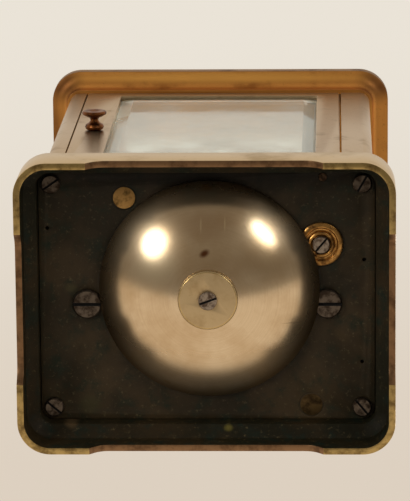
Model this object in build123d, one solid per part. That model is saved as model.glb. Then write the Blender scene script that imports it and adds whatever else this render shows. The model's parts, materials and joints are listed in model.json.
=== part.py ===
from build123d import *
import math
import os

# A brass carriage clock with an alarm bell hung in its hollow base.
# Millimetres, +Z up, the dial faces -Y and the door is at +Y. The origin is
# on the plane of the feet, under the middle of the case.

# Case outline
case_width = 92.0
case_depth = 72.3
outline_radius = 8.0
ledge = 5.15
plinth_height = 14.2
base_height = 20.0
pillar_height = 106.0
top_height = 9.0

# Hollow underside of the base
foot_wall = 1.65
seat_wall = 4.7
wall_step_height = 9.0
wall_slope = 2.6
plate_underside = 15.6
base_plate_thickness = 2.0
base_plate_gap = 0.2
foot_length = 17.5
arch_height = 3.1
arch_end = 2.6
arch_curve_radius = 4.5
movement_window_side_rim = 5.35
movement_window_end_rim = 6.0

# Corner pillars and panes
pillar_width = 5.6
pillar_radius = 2.6
pillar_tenon_radius = 1.6
pillar_tenon_length = 4.0
pane_edge = 1.1
pane_bevel_height = 1.1
pane_bevel_width = 3.4
pane_groove_depth = 1.4
pane_gap = 0.1

# Back door
door_thickness = 3.0
door_latch_inset = 4.85
door_hinge_inset = 8.15
door_gap = 0.2
jamb_gap = 0.1
door_opening_inset = 14.25
door_top_rail = 4.2
door_bottom_rail = 5.6
door_rebate = 1.0
door_glass_back = 1.6
door_bevel_height = 0.9
hinge_side_inset = 12.45
hinge_inset = 1.4
hinge_pin_radius = 1.0
hinge_pin_reach = 2.6
hinge_end_gap = 0.3
knob_side_inset = 10.15
knob_height = 51.0
knob_stem_radius = 1.0
top_pin_depth = 3.0

# Top glass and handle
top_window_side_rim = 14.85
top_window_end_rim = 15.0
top_rebate = 2.4
top_glass_sunk = 1.3
top_hollow_wall = 8.0
top_hollow_depth = 2.0
top_glass_edge = 1.9
top_glass_bevel = 4.0
handle_inset = 2.35
handle_pivot_rise = 4.2
handle_reach = 27.0
handle_radius = 2.1
handle_grip_radius = 3.1
handle_corner_radius = 9.0
handle_post_radius = 2.3
handle_eye_radius = 3.0
handle_eye_thickness = 2.2
handle_screw_radius = 1.1
handle_shank_radius = 1.4
handle_shank_length = 4.0
handle_flange_height = 0.6
handle_finial_height = 4.1
handle_side_gap = 0.2

# Bell and its post
bell_offset_share = 0.4494
bell_side_offset = 0.6
bell_rim_radius = 27.0
bell_curve_radius = 38.0
bell_thickness = 1.3
bell_seat_gap = 0.02
bell_apex = 2.7
bell_post_radius = 3.2
bell_post_shank_radius = 2.0
bell_hole_radius = 1.7
bell_screw_radius = 1.55
bell_screw_reach = 5.5
bell_screw_head_radius = 2.25
bell_washer_radius = 7.3
bell_washer_low = 1.5

# Screws and plugs seen from below
corner_screw_side_inset = 2.85
corner_screw_end_inset = 2.9
corner_screw_head_radius = 2.35
corner_screw_radius = 1.2
corner_screw_reach = 9.0
movement_screw_inset = 3.5
movement_screw_back = 16.1
movement_screw_head_radius = 3.6
movement_screw_radius = 1.5
movement_screw_reach = 5.5
screw_gap = 0.1
steady_inset = 5.0
steady_reach = 2.0
steady_cup_radius = 5.4
steady_screw_radius = 0.7
steady_screw_head_radius = 2.15
steady_cup_height = 1.0
plug_radius = 3.0
plug_x = (20.1, -25.5)
plug_insets = (6.95, 3.85)
pin_hole_radius = 0.5
pin_hole_insets = (2.3, 2.8, 3.3)
pin_hole_y = (17.0, 9.0, -16.7)

# Movement frame
frame_side_room = 7.85
frame_top = 104.0
frame_plate_thickness = 2.0
plate_spacing = 30.0
frame_pillar_radius = 3.6
frame_pillar_waist = 2.3
upper_pillar_inset = 6.0
upper_pillar_z = 98.0
frame_screw_radius = 1.25
frame_screw_head_radius = 2.6
frame_screw_reach = 5.5
frame_screw_gap = 0.05
end_shake = 0.15
running_clearance = 0.03

# Arbors, pipes, posts and pivots, by radius
center_arbor_radius = 1.2
center_pipe_radius = 2.0
hand_seat_radius = 1.0
cannon_pipe_radius = 1.9
hour_pipe_radius = 2.6
minute_post_radius = 1.0
minute_core_radius = 1.6
alarm_arbor_radius = 0.9
alarm_pipe_radius = 2.2
alarm_collar_radius = 1.9
front_journal_radius = 1.4
intermediate_arbor_radius = 1.1
intermediate_pivot_radius = 0.6
train_arbor_radius = 0.7
train_pivot_radius = 0.4
star_arbor_radius = 1.1
star_pivot_radius = 0.5
hammer_arbor_radius = 1.2
hammer_pivot_radius = 0.6
escape_arbor_radius = 0.45
escape_foot_radius = 0.3
fine_pivot_radius = 0.25
balance_staff_radius = 0.5
balance_pivot_radius = 0.3
click_stud_radius = 0.9
spring_stud_radius = 0.8
winding_square = 2.8
setting_square = 1.7
alarm_square = 1.25

# Dial and hands
dial_z = 80.0
dial_thickness = 1.0
dial_pane_gap = 2.6
dial_plate_gap = 8.2
dial_half_width = 27.0
dial_low = 34.0
dial_high = 106.0
dial_foot_x = 24.0
dial_foot_radius = 1.1
dial_center_hole = 3.0
dial_alarm_hole = 1.4
mask_thickness = 0.6
mask_side_gap = 1.25
mask_end_gap = 0.8
chapter_radius = 21.0
alarm_chapter_radius = 9.8
hand_thickness = 0.3
hour_hand_gap = 0.15
minute_hand_gap = 0.95
hour_hand_length = 13.5
minute_hand_length = 19.5
alarm_hand_length = 7.5
minute_hand_angle = -60.0
hour_hand_angle = -300.0 + minute_hand_angle / 12
alarm_hand_angle = 150.0

# Going train: teeth and modules of each meshing pair
barrel_teeth = 80
barrel_pinion_teeth = 10
barrel_module = 0.38
intermediate_teeth = 72
center_pinion_teeth = 16
intermediate_module = 0.36
center_teeth = 64
third_pinion_teeth = 8
center_module = 0.35
third_teeth = 60
contrate_pinion_teeth = 8
third_module = 0.33
contrate_teeth = 64
escape_pinion_teeth = 8
contrate_module = 0.3
wheel_thickness = 1.0
barrel_x = 17.2
barrel_z = 52.0
contrate_x = 6.0
contrate_z = 92.5
barrel_drum_radius = 14.3
barrel_wall = 1.0
barrel_floor = 1.5
barrel_arbor_radius = 2.0
barrel_core_radius = 3.6
barrel_cap_thickness = 1.0
mainspring_half_turns = 16
mainspring_strip = 0.28
mainspring_gap = 0.3
mainspring_inner_gap = 0.5
pinion_margin = 1.2
barrel_pinion_front_margin = 2.2
barrel_pinion_back_margin = 0.35

# Motion work in front of the movement
cannon_teeth = 24
minute_teeth = 36
cannon_module = 0.6
minute_pinion_teeth = 8
hour_teeth = 64
hour_module = 0.5
minute_wheel_angle = 160.0
minute_pinion_length = 2.0
hour_pipe_end = 0.4
cannon_pipe_setback = 0.55
plate_gap = 0.3
motion_thickness = 1.4

# Alarm train
alarm_barrel_teeth = 60
star_pinion_teeth = 10
alarm_module = 0.4
alarm_barrel_drum_radius = 11.0
alarm_barrel_core_radius = 3.0
alarm_barrel_angle = 80.0
star_teeth = 16
star_radius = 7.5
star_root_radius = 5.4
star_thickness = 1.2
anchor_distance = 11.0
anchor_half_span = 33.75
anchor_clearance = 0.85
hammer_x = -16.7
hammer_pivot_z = 34.3
hammer_swing = 5.0
hammer_head_z = 12.4
hammer_head_radius = 2.6
hammer_arm_radius = 0.8
hammer_boss_radius = 1.9
hammer_slot_gap = 0.7

# Ratchets
ratchet_teeth = 24
ratchet_radius = 5.4
ratchet_root_radius = 4.6
ratchet_thickness = 1.2
ratchet_gap = 0.25
ratchet_back_gap = 0.25
click_depth = 0.45
click_eye_radius = 1.7
click_pivot_across = 8.0
click_pivot_rise = 2.2
spring_foot_across = 10.5
spring_foot_rise = 5.8
barrel_click_turn = 20.0
alarm_click_turn = 60.0
square_end_room = 0.5
stud_length = 1.8
spring_thickness = 1.0

# Platform escapement
platform_thickness = 2.0
platform_left = -18.0
platform_right = 15.0
platform_screw_x = 12.0
platform_screw_radius = 0.6
platform_screw_reach = 4.0
cock_screw_radius = 0.7
pivot_depth = 0.8
bridge_thickness = 0.9
bridge_gap = 0.9
fine_shake = 0.1
escape_hole_radius = 1.9
escape_back = 18.2
escape_teeth = 15
escape_radius = 4.2
escape_root_radius = 2.9
escape_level = 107.3
escape_thickness = 0.4
lever_length = 6.4
pallet_clearance = 0.15
pallet_boss_radius = 0.55
roller_radius = 1.6
roller_gap = 0.25
collet_radius = 0.85
impulse_pin_reach = 1.3
impulse_pin_radius = 0.15
balance_radius = 8.0
balance_rim_width = 0.9
balance_level = 110.0
balance_thickness = 0.9
hairspring_level = 112.1
hairspring_height = 0.35
hairspring_inner = 1.15
hairspring_pitch = 0.42
hairspring_half_turns = 12
hairspring_strip = 0.12
cock_level = 113.4
cock_thickness = 1.4
cock_boss_radius = 1.1
cock_foot_forward = 14.2
cock_foot_half_width = 3.0
cock_foot_half_depth = 2.4
cock_arm_half_width = 1.9
cock_end_radius = 3.2

# Tooth shapes, as shares of the module and of the circular pitch
wheel_tooth = {"addendum": 0.95, "dedendum": 1.25, "root": 0.52, "tip": 0.20}
pinion_tooth = {"addendum": 0.75, "dedendum": 1.35, "root": 0.42, "tip": 0.30}

# Derived places
body_width = case_width - 2 * ledge
body_depth = case_depth - 2 * ledge
body_radius = outline_radius - ledge
half_body_x = body_width / 2
half_body_y = body_depth / 2
pillar_top = base_height + pillar_height
case_height = pillar_top + top_height
seat_width = case_width - 2 * seat_wall
seat_depth = case_depth - 2 * seat_wall
seat_radius = outline_radius - seat_wall
plate_top = plate_underside + base_plate_thickness
door_back = half_body_y
door_front = door_back - door_thickness
door_right = half_body_x - door_latch_inset
door_left = door_hinge_inset - half_body_x
door_opening_half = half_body_x - door_opening_inset
hinge_x = hinge_side_inset - half_body_x
hinge_y = door_back - hinge_inset
knob_x = half_body_x - knob_side_inset
knob_z = base_height + knob_height
jamb_x = hinge_x - math.hypot(hinge_x - door_left, door_thickness - hinge_inset) - jamb_gap
pane_thickness = pane_edge + pane_bevel_height
pane_seat = half_body_y - pane_thickness
side_seat = half_body_x - pane_thickness
pane_low = base_height + pane_gap
pane_high = pillar_top - pane_gap
movement_window_width = body_width - 2 * movement_window_side_rim
movement_window_depth = body_depth - 2 * movement_window_end_rim
top_window_width = body_width - 2 * top_window_side_rim
top_window_depth = body_depth - 2 * top_window_end_rim
corner_screw_x = half_body_x - corner_screw_side_inset
corner_screw_y = half_body_y - corner_screw_end_inset
dial_front = dial_pane_gap - pane_seat
hour_hand_front = dial_front - mask_thickness - hour_hand_gap
minute_hand_front = hour_hand_front - minute_hand_gap
mask_half_width = half_body_x - pillar_width - mask_side_gap
mask_low = base_height + mask_end_gap
mask_high = pillar_top - mask_end_gap
front_inner = dial_front + dial_plate_gap
back_inner = front_inner + plate_spacing
front_outer = front_inner - frame_plate_thickness
back_outer = back_inner + frame_plate_thickness
square_end = (back_outer + door_front) / 2 + square_end_room
frame_half_width = half_body_x - frame_side_room
movement_screw_x = frame_half_width - movement_screw_inset
movement_screw_y = front_inner + movement_screw_back
steady_x = steady_inset - frame_half_width
steady_y = (back_inner + back_outer) / 2
upper_pillar_x = frame_half_width - upper_pillar_inset
plug_places = [
    (plug_x[0], seat_depth / 2 - plug_insets[0]),
    (plug_x[1], plug_insets[1] - seat_depth / 2),
]
pin_hole_places = [
    (seat_width / 2 - pin_hole_insets[0], pin_hole_y[0]),
    (pin_hole_insets[1] - seat_width / 2, pin_hole_y[1]),
    (pin_hole_insets[2] - seat_width / 2, pin_hole_y[2]),
]
lower_pillar_z = plate_top + frame_pillar_radius
frame_pillar_places = [
    (-movement_screw_x, lower_pillar_z),
    (movement_screw_x, lower_pillar_z),
    (-upper_pillar_x, upper_pillar_z),
    (upper_pillar_x, upper_pillar_z),
]
alarm_dial_z = dial_z - hour_teeth * hour_module
bell_x = -bell_side_offset
bell_y = (seat_depth / 2 - bell_rim_radius) * bell_offset_share
bell_center_z = bell_apex + bell_curve_radius
bell_rim_z = bell_center_z - math.sqrt(bell_curve_radius**2 - bell_rim_radius**2)
handle_pivot_z = case_height + handle_pivot_rise
handle_x = half_body_x - handle_inset
handle_inner = handle_x - handle_post_radius - handle_side_gap
platform_low = frame_top
platform_top = platform_low + platform_thickness

BASE = (Align.CENTER, Align.CENTER, Align.MIN)
CORNER = (Align.MIN, Align.MIN, Align.MIN)


def block(left, right, front, back, low, high):
    """A box between the given faces."""
    size = Box(right - left, back - front, high - low, align=CORNER)
    return Pos(left, front, low) * size


def rod_x(radius, y, z, left, right):
    """A cylinder along X."""
    return Pos(left, y, z) * Rot(0, 90, 0) * Cylinder(radius, right - left, align=BASE)


def rod_y(radius, x, z, front, back):
    """A cylinder along Y."""
    return Pos(x, front, z) * Rot(-90, 0, 0) * Cylinder(radius, back - front, align=BASE)


def rod_z(radius, x, y, low, high):
    """A cylinder along Z."""
    return Pos(x, y, low) * Cylinder(radius, high - low, align=BASE)


def rounded_block(width, depth, radius, low, high):
    """An upright prism with rounded corners, centred on the origin."""
    return Pos(0, 0, low) * extrude(RectangleRounded(width, depth, radius), high - low)


def turned(points):
    """A solid turned about Z from (radius, height) points that start and end on the axis."""
    outline = Polyline(*[(radius, 0, height) for radius, height in points], close=True)
    return revolve(make_face(outline), Axis.Z)


def flat_shape(points, thickness):
    """A plate cut to an outline of (x, y) points."""
    return extrude(make_face(Polyline(*points, close=True)), thickness)


def seen_from_front(shape, x, back, z):
    """Stands a shape made on the XY plane upright: its face looks to the dial side."""
    return Pos(x, back, z) * Rot(90, 0, 0) * shape


def fused(*shapes):
    """The union of all the shapes."""
    whole = shapes[0]
    for shape in shapes[1:]:
        whole += shape
    return whole


def moulding(width, depth, radius, profile):
    """A moulding that runs round a rounded rectangle. The profile is (outward, height)."""
    path = RectangleRounded(width, depth, radius).face().outer_wire()
    start, along = path @ 0, path % 0
    outward = along.cross(Vector(0, 0, 1))
    if outward.dot(start) < 0:
        outward = outward * -1
    points = [start + outward * out + Vector(0, 0, height) for out, height in profile]
    return sweep(make_face(Polyline(*points, close=True)), path=path)


def slotted_screw(head_radius, head_height, radius, length, slot_depth=0.6):
    """A cheese-headed screw: the head stands on z = 0 and the shank hangs below."""
    head = Cylinder(head_radius, head_height, align=BASE)
    head = chamfer(head.edges().group_by(Axis.Z)[-1], head_height * 0.18)
    slot_width = head_radius * 0.26
    slot = Box(3 * head_radius, slot_width, 2 * slot_depth)
    head -= Pos(0, 0, head_height) * slot
    shank = Pos(0, 0, -length) * Cylinder(radius, length, align=BASE)
    return head + shank


def placed(shape, origin, turn, facing):
    """Puts a shape at a point with its Z along facing and its X turned by an angle."""
    angle = math.radians(turn)
    if abs(facing[2]) > 0.5:
        across = (math.cos(angle), math.sin(angle), 0)
    else:
        across = (math.cos(angle), 0, math.sin(angle))
    return Plane(origin=origin, x_dir=across, z_dir=facing).location * shape


def tooth_points(teeth, module, tooth, phase):
    """The outline of a toothed wheel, with a tooth centred on the phase angle."""
    radius = teeth * module / 2
    outer = radius + tooth["addendum"] * module
    inner = radius - tooth["dedendum"] * module
    half_pitch = math.pi * module / 2
    root, tip = half_pitch * tooth["root"] / inner, half_pitch * tooth["tip"] / outer
    corners = [(inner, -root), (outer, -tip), (outer, tip), (inner, root)]
    points = []
    for number in range(teeth):
        middle = math.radians(phase + number * 360 / teeth)
        for reach, offset in corners:
            angle = middle + offset
            points.append((reach * math.cos(angle), reach * math.sin(angle)))
    return points


def pinion(teeth, module, length, phase):
    """A steel pinion, standing on z = 0."""
    return flat_shape(tooth_points(teeth, module, pinion_tooth, phase), length)


def pinion_past(teeth, module, phase, place, wheel_front, wheel_back, front_margin, back_margin):
    """A pinion that reaches past both faces of the wheel it meets."""
    length = wheel_back + back_margin - wheel_front + front_margin
    leaves = pinion(teeth, module, length, phase)
    return seen_from_front(leaves, place[0], wheel_back + back_margin, place[1])


def crossed_out(outline_solid, rim_radius, hub_radius, arms, arm_width, thickness):
    """Cuts the windows between a wheel's arms."""
    windows = Circle(rim_radius) - Circle(hub_radius)
    for number in range(arms):
        arm = Pos(rim_radius / 2, 0) * Rectangle(rim_radius + 2, arm_width)
        windows -= Rot(0, 0, number * 360 / arms) * arm
    return outline_solid - extrude(windows, thickness)


def wheel(teeth, module, bore, phase, arms=4, hub=2.6, thickness=wheel_thickness):
    """A brass wheel with crossed-out arms, standing on z = 0."""
    disc = flat_shape(tooth_points(teeth, module, wheel_tooth, phase), thickness)
    rim = teeth * module / 2 - wheel_tooth["dedendum"] * module - 1.1
    disc = crossed_out(disc, rim, hub, arms, 1.1, thickness)
    return disc - Cylinder(bore, 3 * thickness)


def direction(start, end):
    """The angle, in degrees, at which one arbor sees another, looking from the dial side."""
    return math.degrees(math.atan2(end[1] - start[1], end[0] - start[0]))


def meshing_phase(driver, driver_teeth, driver_phase, other, other_teeth):
    """The tooth angle at which the other wheel's gap meets the driver's tooth."""
    towards = direction(driver, other)
    behind = (towards - driver_phase) % (360 / driver_teeth)
    return towards + 180 + behind * driver_teeth / other_teeth + 180 / other_teeth


def crossing(first, first_distance, second, second_distance, side):
    """The point at the given distances from two others, on the chosen side."""
    gap_x, gap_z = second[0] - first[0], second[1] - first[1]
    gap = math.hypot(gap_x, gap_z)
    along = (first_distance**2 - second_distance**2 + gap**2) / (2 * gap)
    off = side * math.sqrt(max(first_distance**2 - along**2, 0))
    unit_x, unit_z = gap_x / gap, gap_z / gap
    return (
        first[0] + along * unit_x - off * unit_z,
        first[1] + along * unit_z + off * unit_x,
    )


# Arbor places, as (x, z)
barrel_place = (barrel_x, barrel_z)
center_place = (0.0, dial_z)
contrate_place = (contrate_x, contrate_z)
intermediate_place = crossing(
    barrel_place,
    (barrel_teeth + barrel_pinion_teeth) * barrel_module / 2,
    center_place,
    (intermediate_teeth + center_pinion_teeth) * intermediate_module / 2,
    -1,
)
third_place = crossing(
    center_place,
    (center_teeth + third_pinion_teeth) * center_module / 2,
    contrate_place,
    (third_teeth + contrate_pinion_teeth) * third_module / 2,
    -1,
)
minute_distance = (cannon_teeth + minute_teeth) * cannon_module / 2
minute_place = (
    minute_distance * math.cos(math.radians(minute_wheel_angle)),
    dial_z + minute_distance * math.sin(math.radians(minute_wheel_angle)),
)
alarm_place = (0.0, alarm_dial_z)
hammer_place = (hammer_x, hammer_pivot_z)
star_place = (hammer_x, hammer_pivot_z + anchor_distance)
alarm_barrel_distance = (alarm_barrel_teeth + star_pinion_teeth) * alarm_module / 2
alarm_barrel_place = (
    star_place[0] + alarm_barrel_distance * math.cos(math.radians(alarm_barrel_angle)),
    star_place[1] + alarm_barrel_distance * math.sin(math.radians(alarm_barrel_angle)),
)

# Depths of the wheels, as the back face of each
barrel_front = front_inner + 13.5
barrel_back = back_inner - 1.0
alarm_barrel_front = front_inner + 14.5
intermediate_back = front_inner + 9.2
center_back = front_inner + 3.8
third_back = front_inner + 12.8
contrate_back = front_inner + 15.8
crown_root = front_inner + 16.6
star_back = front_inner + 6.2
cannon_back = front_outer - 0.6
hour_back = front_outer - 2.9
minute_post_front = front_outer - 4.3
hand_seat_back = dial_front + 0.2

# Places round the ratchets and on the platform
ratchet_front = back_outer + ratchet_back_gap
click_pivot = (click_pivot_across, ratchet_radius + click_pivot_rise)
spring_foot = (spring_foot_across, ratchet_radius + spring_foot_rise)
escape_y = front_inner + escape_back
escape_place = (contrate_x, escape_y)
pallet_distance = escape_radius / math.cos(math.radians(30))
pallet_place = (escape_place[0] - pallet_distance, escape_y)
balance_place = (pallet_place[0] - lever_length, escape_y)
bridge_level = escape_level + escape_thickness + bridge_gap
cock_foot = (balance_place[0], escape_y - cock_foot_forward)
cock_top = cock_level + cock_thickness
escape_foot = contrate_z + contrate_teeth * contrate_module / 2 - 2.2
escape_pinion_length = platform_low - escape_foot - 0.8

# Tooth angles, so that every pair is in mesh at rest
barrel_phase = direction(barrel_place, intermediate_place)
intermediate_pinion_phase = meshing_phase(
    barrel_place, barrel_teeth, barrel_phase, intermediate_place, barrel_pinion_teeth
)
intermediate_phase = direction(intermediate_place, center_place)
center_pinion_phase = meshing_phase(
    intermediate_place, intermediate_teeth, intermediate_phase, center_place, center_pinion_teeth
)
center_phase = direction(center_place, third_place)
third_pinion_phase = meshing_phase(
    center_place, center_teeth, center_phase, third_place, third_pinion_teeth
)
third_phase = direction(third_place, contrate_place)
contrate_pinion_phase = meshing_phase(
    third_place, third_teeth, third_phase, contrate_place, contrate_pinion_teeth
)
contrate_phase = 90.0
escape_pinion_phase = -90 + 180 / escape_pinion_teeth
escape_phase = 180.0
cannon_phase = direction(center_place, minute_place)
minute_phase = meshing_phase(center_place, cannon_teeth, cannon_phase, minute_place, minute_teeth)
minute_pinion_phase = direction(minute_place, center_place)
hour_phase = meshing_phase(
    minute_place, minute_pinion_teeth, minute_pinion_phase, center_place, hour_teeth
)
alarm_phase = meshing_phase(center_place, hour_teeth, hour_phase, alarm_place, hour_teeth)
alarm_barrel_phase = direction(alarm_barrel_place, star_place)
star_pinion_phase = meshing_phase(
    alarm_barrel_place, alarm_barrel_teeth, alarm_barrel_phase, star_place, star_pinion_teeth
)
star_phase = -90.0


def base_moulding():
    """The cast base: plinth band, stepped top, four feet and a flange for the plate."""
    profile = [
        (0, 0.0),
        (ledge, 0.0),
        (ledge, plinth_height - 0.8),
        (ledge - 0.8, plinth_height),
        (ledge - 1.6, plinth_height),
        (ledge - 2.0, plinth_height + 1.4),
        (ledge - 2.9, plinth_height + 2.7),
        (1.5, plinth_height + 3.2),
        (0.9, base_height - 0.9),
        (0.3, base_height),
        (0, base_height),
    ]
    body = moulding(body_width, body_depth, body_radius, profile)
    body += rounded_block(body_width, body_depth, body_radius, 0, base_height)
    pocket_width = case_width - 2 * foot_wall
    pocket_depth = case_depth - 2 * foot_wall
    pocket_radius = outline_radius - foot_wall
    body -= rounded_block(pocket_width, pocket_depth, pocket_radius, -1, wall_step_height)
    seat = rounded_block(seat_width, seat_depth, seat_radius, -1, plate_top)
    wide = RectangleRounded(pocket_width, pocket_depth, pocket_radius).face()
    narrow = RectangleRounded(seat_width, seat_depth, seat_radius).face()
    slope_top = wall_step_height + wall_slope
    slope = loft([Pos(0, 0, wall_step_height) * wide, Pos(0, 0, slope_top) * narrow], ruled=True)
    body -= seat
    body -= slope
    half_x, half_y = movement_window_width / 2, movement_window_depth / 2
    window = block(-half_x, half_x, -half_y, half_y, plate_underside, base_height + 1)
    body -= fillet(window.edges().filter_by(Axis.Z), 3)
    for length, turn in ((case_width, 0), (case_depth, 90)):
        half = length / 2 - foot_length
        shoulder = half - arch_end
        points = [(-half, -1), (half, -1), (half, 0), (shoulder, arch_height)]
        points += [(-shoulder, arch_height), (-half, 0)]
        arch = Pos(0, case_width, 0) * Rot(90, 0, 0) * flat_shape(points, 2 * case_width)
        arch = fillet(arch.edges().filter_by(Axis.Y).group_by(Axis.Z)[-1], arch_curve_radius)
        body -= Rot(0, 0, turn) * arch
    for side_x in (-1, 1):
        for side_y in (-1, 1):
            x, y = side_x * corner_screw_x, side_y * corner_screw_y
            body -= rod_z(corner_screw_radius + screw_gap, x, y, plate_top - 1, base_height + 1)
    body -= rod_z(hinge_pin_radius, hinge_x, hinge_y, plate_top - 1, base_height + 1)
    return body


def base_plate():
    """The dark plate in the base that carries the movement and the bell."""
    gap = base_plate_gap
    plate = rounded_block(
        seat_width - 2 * gap, seat_depth - 2 * gap, seat_radius - gap, plate_underside, plate_top
    )
    holes = [(steady_x, steady_y, steady_screw_radius + screw_gap)]
    holes.append((bell_x, bell_y, bell_post_shank_radius))
    for side in (-1, 1):
        holes.append((side * movement_screw_x, movement_screw_y, movement_screw_radius + screw_gap))
        holes.append((side * corner_screw_x, corner_screw_y, corner_screw_radius + screw_gap))
        holes.append((side * corner_screw_x, -corner_screw_y, corner_screw_radius + screw_gap))
    holes += [(x, y, plug_radius) for x, y in plug_places]
    holes += [(x, y, pin_hole_radius) for x, y in pin_hole_places]
    holes.append((hinge_x, hinge_y, hinge_pin_radius + screw_gap))
    for x, y, radius in holes:
        plate -= rod_z(radius, x, y, plate_underside - 1, plate_top + 1)
    reach = hammer_pivot_z - plate_underside
    half = reach * math.tan(math.radians(hammer_swing)) + hammer_arm_radius + hammer_slot_gap
    narrow = hammer_arm_radius + hammer_slot_gap
    left, right = hammer_x - half, hammer_x + half
    slot = block(left, right, bell_y - narrow, bell_y + narrow, plate_underside - 1, plate_top + 1)
    return plate - fillet(slot.edges().filter_by(Axis.Z), 1.0)


def base_screws():
    """Four screws that go up through the plate and the base into the corner pillars."""
    turns = {(1, 1): 35, (-1, 1): 60, (1, -1): 140, (-1, -1): 130}
    length = base_height - plate_underside + corner_screw_reach
    screw = slotted_screw(corner_screw_head_radius, 1.3, corner_screw_radius, length)
    screws = []
    for (side_x, side_y), turn in turns.items():
        origin = (side_x * corner_screw_x, side_y * corner_screw_y, plate_underside)
        screws.append(placed(screw, origin, turn, (0, 0, -1)))
    return Compound(screws)


def base_plugs():
    """Brass plugs riveted flush into the plate."""
    plugs = [rod_z(plug_radius, x, y, plate_underside, plate_top) for x, y in plug_places]
    return Compound(plugs)


def corner_pillar(side_x, side_y):
    """A corner pillar with grooves for its panes and a tenon into the top."""
    inner_x, inner_y = half_body_x - pillar_width, half_body_y - pillar_width
    post = block(inner_x, half_body_x, inner_y, half_body_y, base_height, pillar_top)
    outer_corner = post.edges().filter_by(Axis.Z).sort_by(Axis.X)[-2:].sort_by(Axis.Y)[-1]
    post = fillet(outer_corner, pillar_radius)
    low, high = base_height - 1, pillar_top + 1
    near, far = side_seat - pane_gap, side_seat + pane_edge + pane_gap
    post -= block(near, far, inner_y - 1, inner_y + pane_groove_depth, low, high)
    if side_y < 0:
        near, far = pane_seat - pane_gap, pane_seat + pane_edge + pane_gap
        post -= block(inner_x - 1, inner_x + pane_groove_depth, near, far, low, high)
    elif side_x > 0:
        rebate = door_right + door_gap
        post -= block(inner_x - 1, rebate, door_front - door_gap, half_body_y + 1, low, high)
    else:
        post += block(-jamb_x, inner_x + 1, door_front - door_gap, half_body_y, base_height, pillar_top)
    x, y = corner_screw_x, corner_screw_y
    post += rod_z(pillar_tenon_radius, x, y, pillar_top, pillar_top + pillar_tenon_length)
    post -= rod_z(corner_screw_radius, x, y, base_height - 1, base_height + corner_screw_reach + 1)
    if side_x < 0:
        post = mirror(post, Plane.YZ)
    if side_y < 0:
        post = mirror(post, Plane.XZ)
    return post


def top_moulding():
    """The overhanging top: a cove under a flat fascia, with a seat for the top glass."""
    cove_low, cove_high = pillar_top + 1.4, pillar_top + 4.8
    profile = [(0, pillar_top), (0.8, pillar_top), (0.8, cove_low)]
    steps = 6
    for number in range(1, steps + 1):
        angle = math.radians(90 * number / steps)
        out = 0.8 + (ledge - 0.8) * (1 - math.cos(angle))
        profile.append((out, cove_low + (cove_high - cove_low) * math.sin(angle)))
    profile += [(ledge, case_height - 0.5), (ledge - 0.5, case_height), (0, case_height)]
    body = moulding(body_width, body_depth, body_radius, profile)
    body += rounded_block(body_width, body_depth, body_radius, pillar_top, case_height)
    half_x, half_y = top_window_width / 2, top_window_depth / 2
    body -= block(-half_x, half_x, -half_y, half_y, pillar_top - 1, case_height + 1)
    hollow_x, hollow_y = half_body_x - top_hollow_wall, half_body_y - top_hollow_wall
    body -= block(-hollow_x, hollow_x, -hollow_y, hollow_y, pillar_top - 1, pillar_top + top_hollow_depth)
    seat_x, seat_y = half_x + top_rebate + pane_gap, half_y + top_rebate + pane_gap
    body -= block(-seat_x, seat_x, -seat_y, seat_y, top_glass_low(), case_height + 1)
    for side_x in (-1, 1):
        for side_y in (-1, 1):
            x, y = side_x * corner_screw_x, side_y * corner_screw_y
            body -= rod_z(pillar_tenon_radius, x, y, pillar_top - 1, pillar_top + pillar_tenon_length)
        shank_low = case_height - handle_shank_length
        body -= rod_z(handle_shank_radius, side_x * handle_x, 0, shank_low, case_height + 1)
    body -= rod_z(hinge_pin_radius, hinge_x, hinge_y, pillar_top - 1, pillar_top + top_pin_depth)
    return body


def top_glass_low():
    """The level of the seat under the top glass."""
    return case_height - top_glass_edge - top_glass_sunk


def bevelled_pane(width, height, edge, lip, bevel_width, bevel_height):
    """A pane on z = 0: a flat lip to hold it by, then a broad bevel up to its outer face."""
    slab = Box(width, height, edge, align=BASE)
    foot_x, foot_y = width - 2 * lip, height - 2 * lip
    foot = Rectangle(foot_x, foot_y).face()
    field = Rectangle(foot_x - 2 * bevel_width, foot_y - 2 * bevel_width).face()
    bevel = loft([Pos(0, 0, edge) * foot, Pos(0, 0, edge + bevel_height) * field], ruled=True)
    return slab + bevel


def top_glass():
    """The bevelled glass over the escapement."""
    width = top_window_width + 2 * top_rebate
    depth = top_window_depth + 2 * top_rebate
    pane = bevelled_pane(width, depth, top_glass_edge, pane_gap, top_glass_bevel, pane_bevel_height)
    return Pos(0, 0, top_glass_low()) * pane


def case_pane(width):
    """A front or side pane, as wide as it is between its grooves' floors."""
    height = pane_high - pane_low
    return bevelled_pane(width, height, pane_edge, pane_groove_depth, pane_bevel_width, pane_bevel_height)


def front_glass():
    """The front pane, bevelled on the outside."""
    width = 2 * (half_body_x - pillar_width + pane_groove_depth - pane_gap)
    middle = (pane_low + pane_high) / 2
    return Pos(0, -pane_seat, middle) * Rot(90, 0, 0) * case_pane(width)


def side_glass(side):
    """A side pane, bevelled on the outside."""
    width = 2 * (half_body_y - pillar_width + pane_groove_depth - pane_gap)
    middle = (pane_low + pane_high) / 2
    pane = Rot(0, 90, 0) * Rot(0, 0, 90) * case_pane(width)
    pane = Pos(side_seat, 0, middle) * pane
    return pane if side > 0 else mirror(pane, Plane.YZ)


def door_limits():
    """The door's opening, as its left, right, low and high."""
    low = base_height + door_gap + door_bottom_rail
    high = pillar_top - door_gap - door_top_rail
    return -door_opening_half, door_opening_half, low, high


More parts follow.
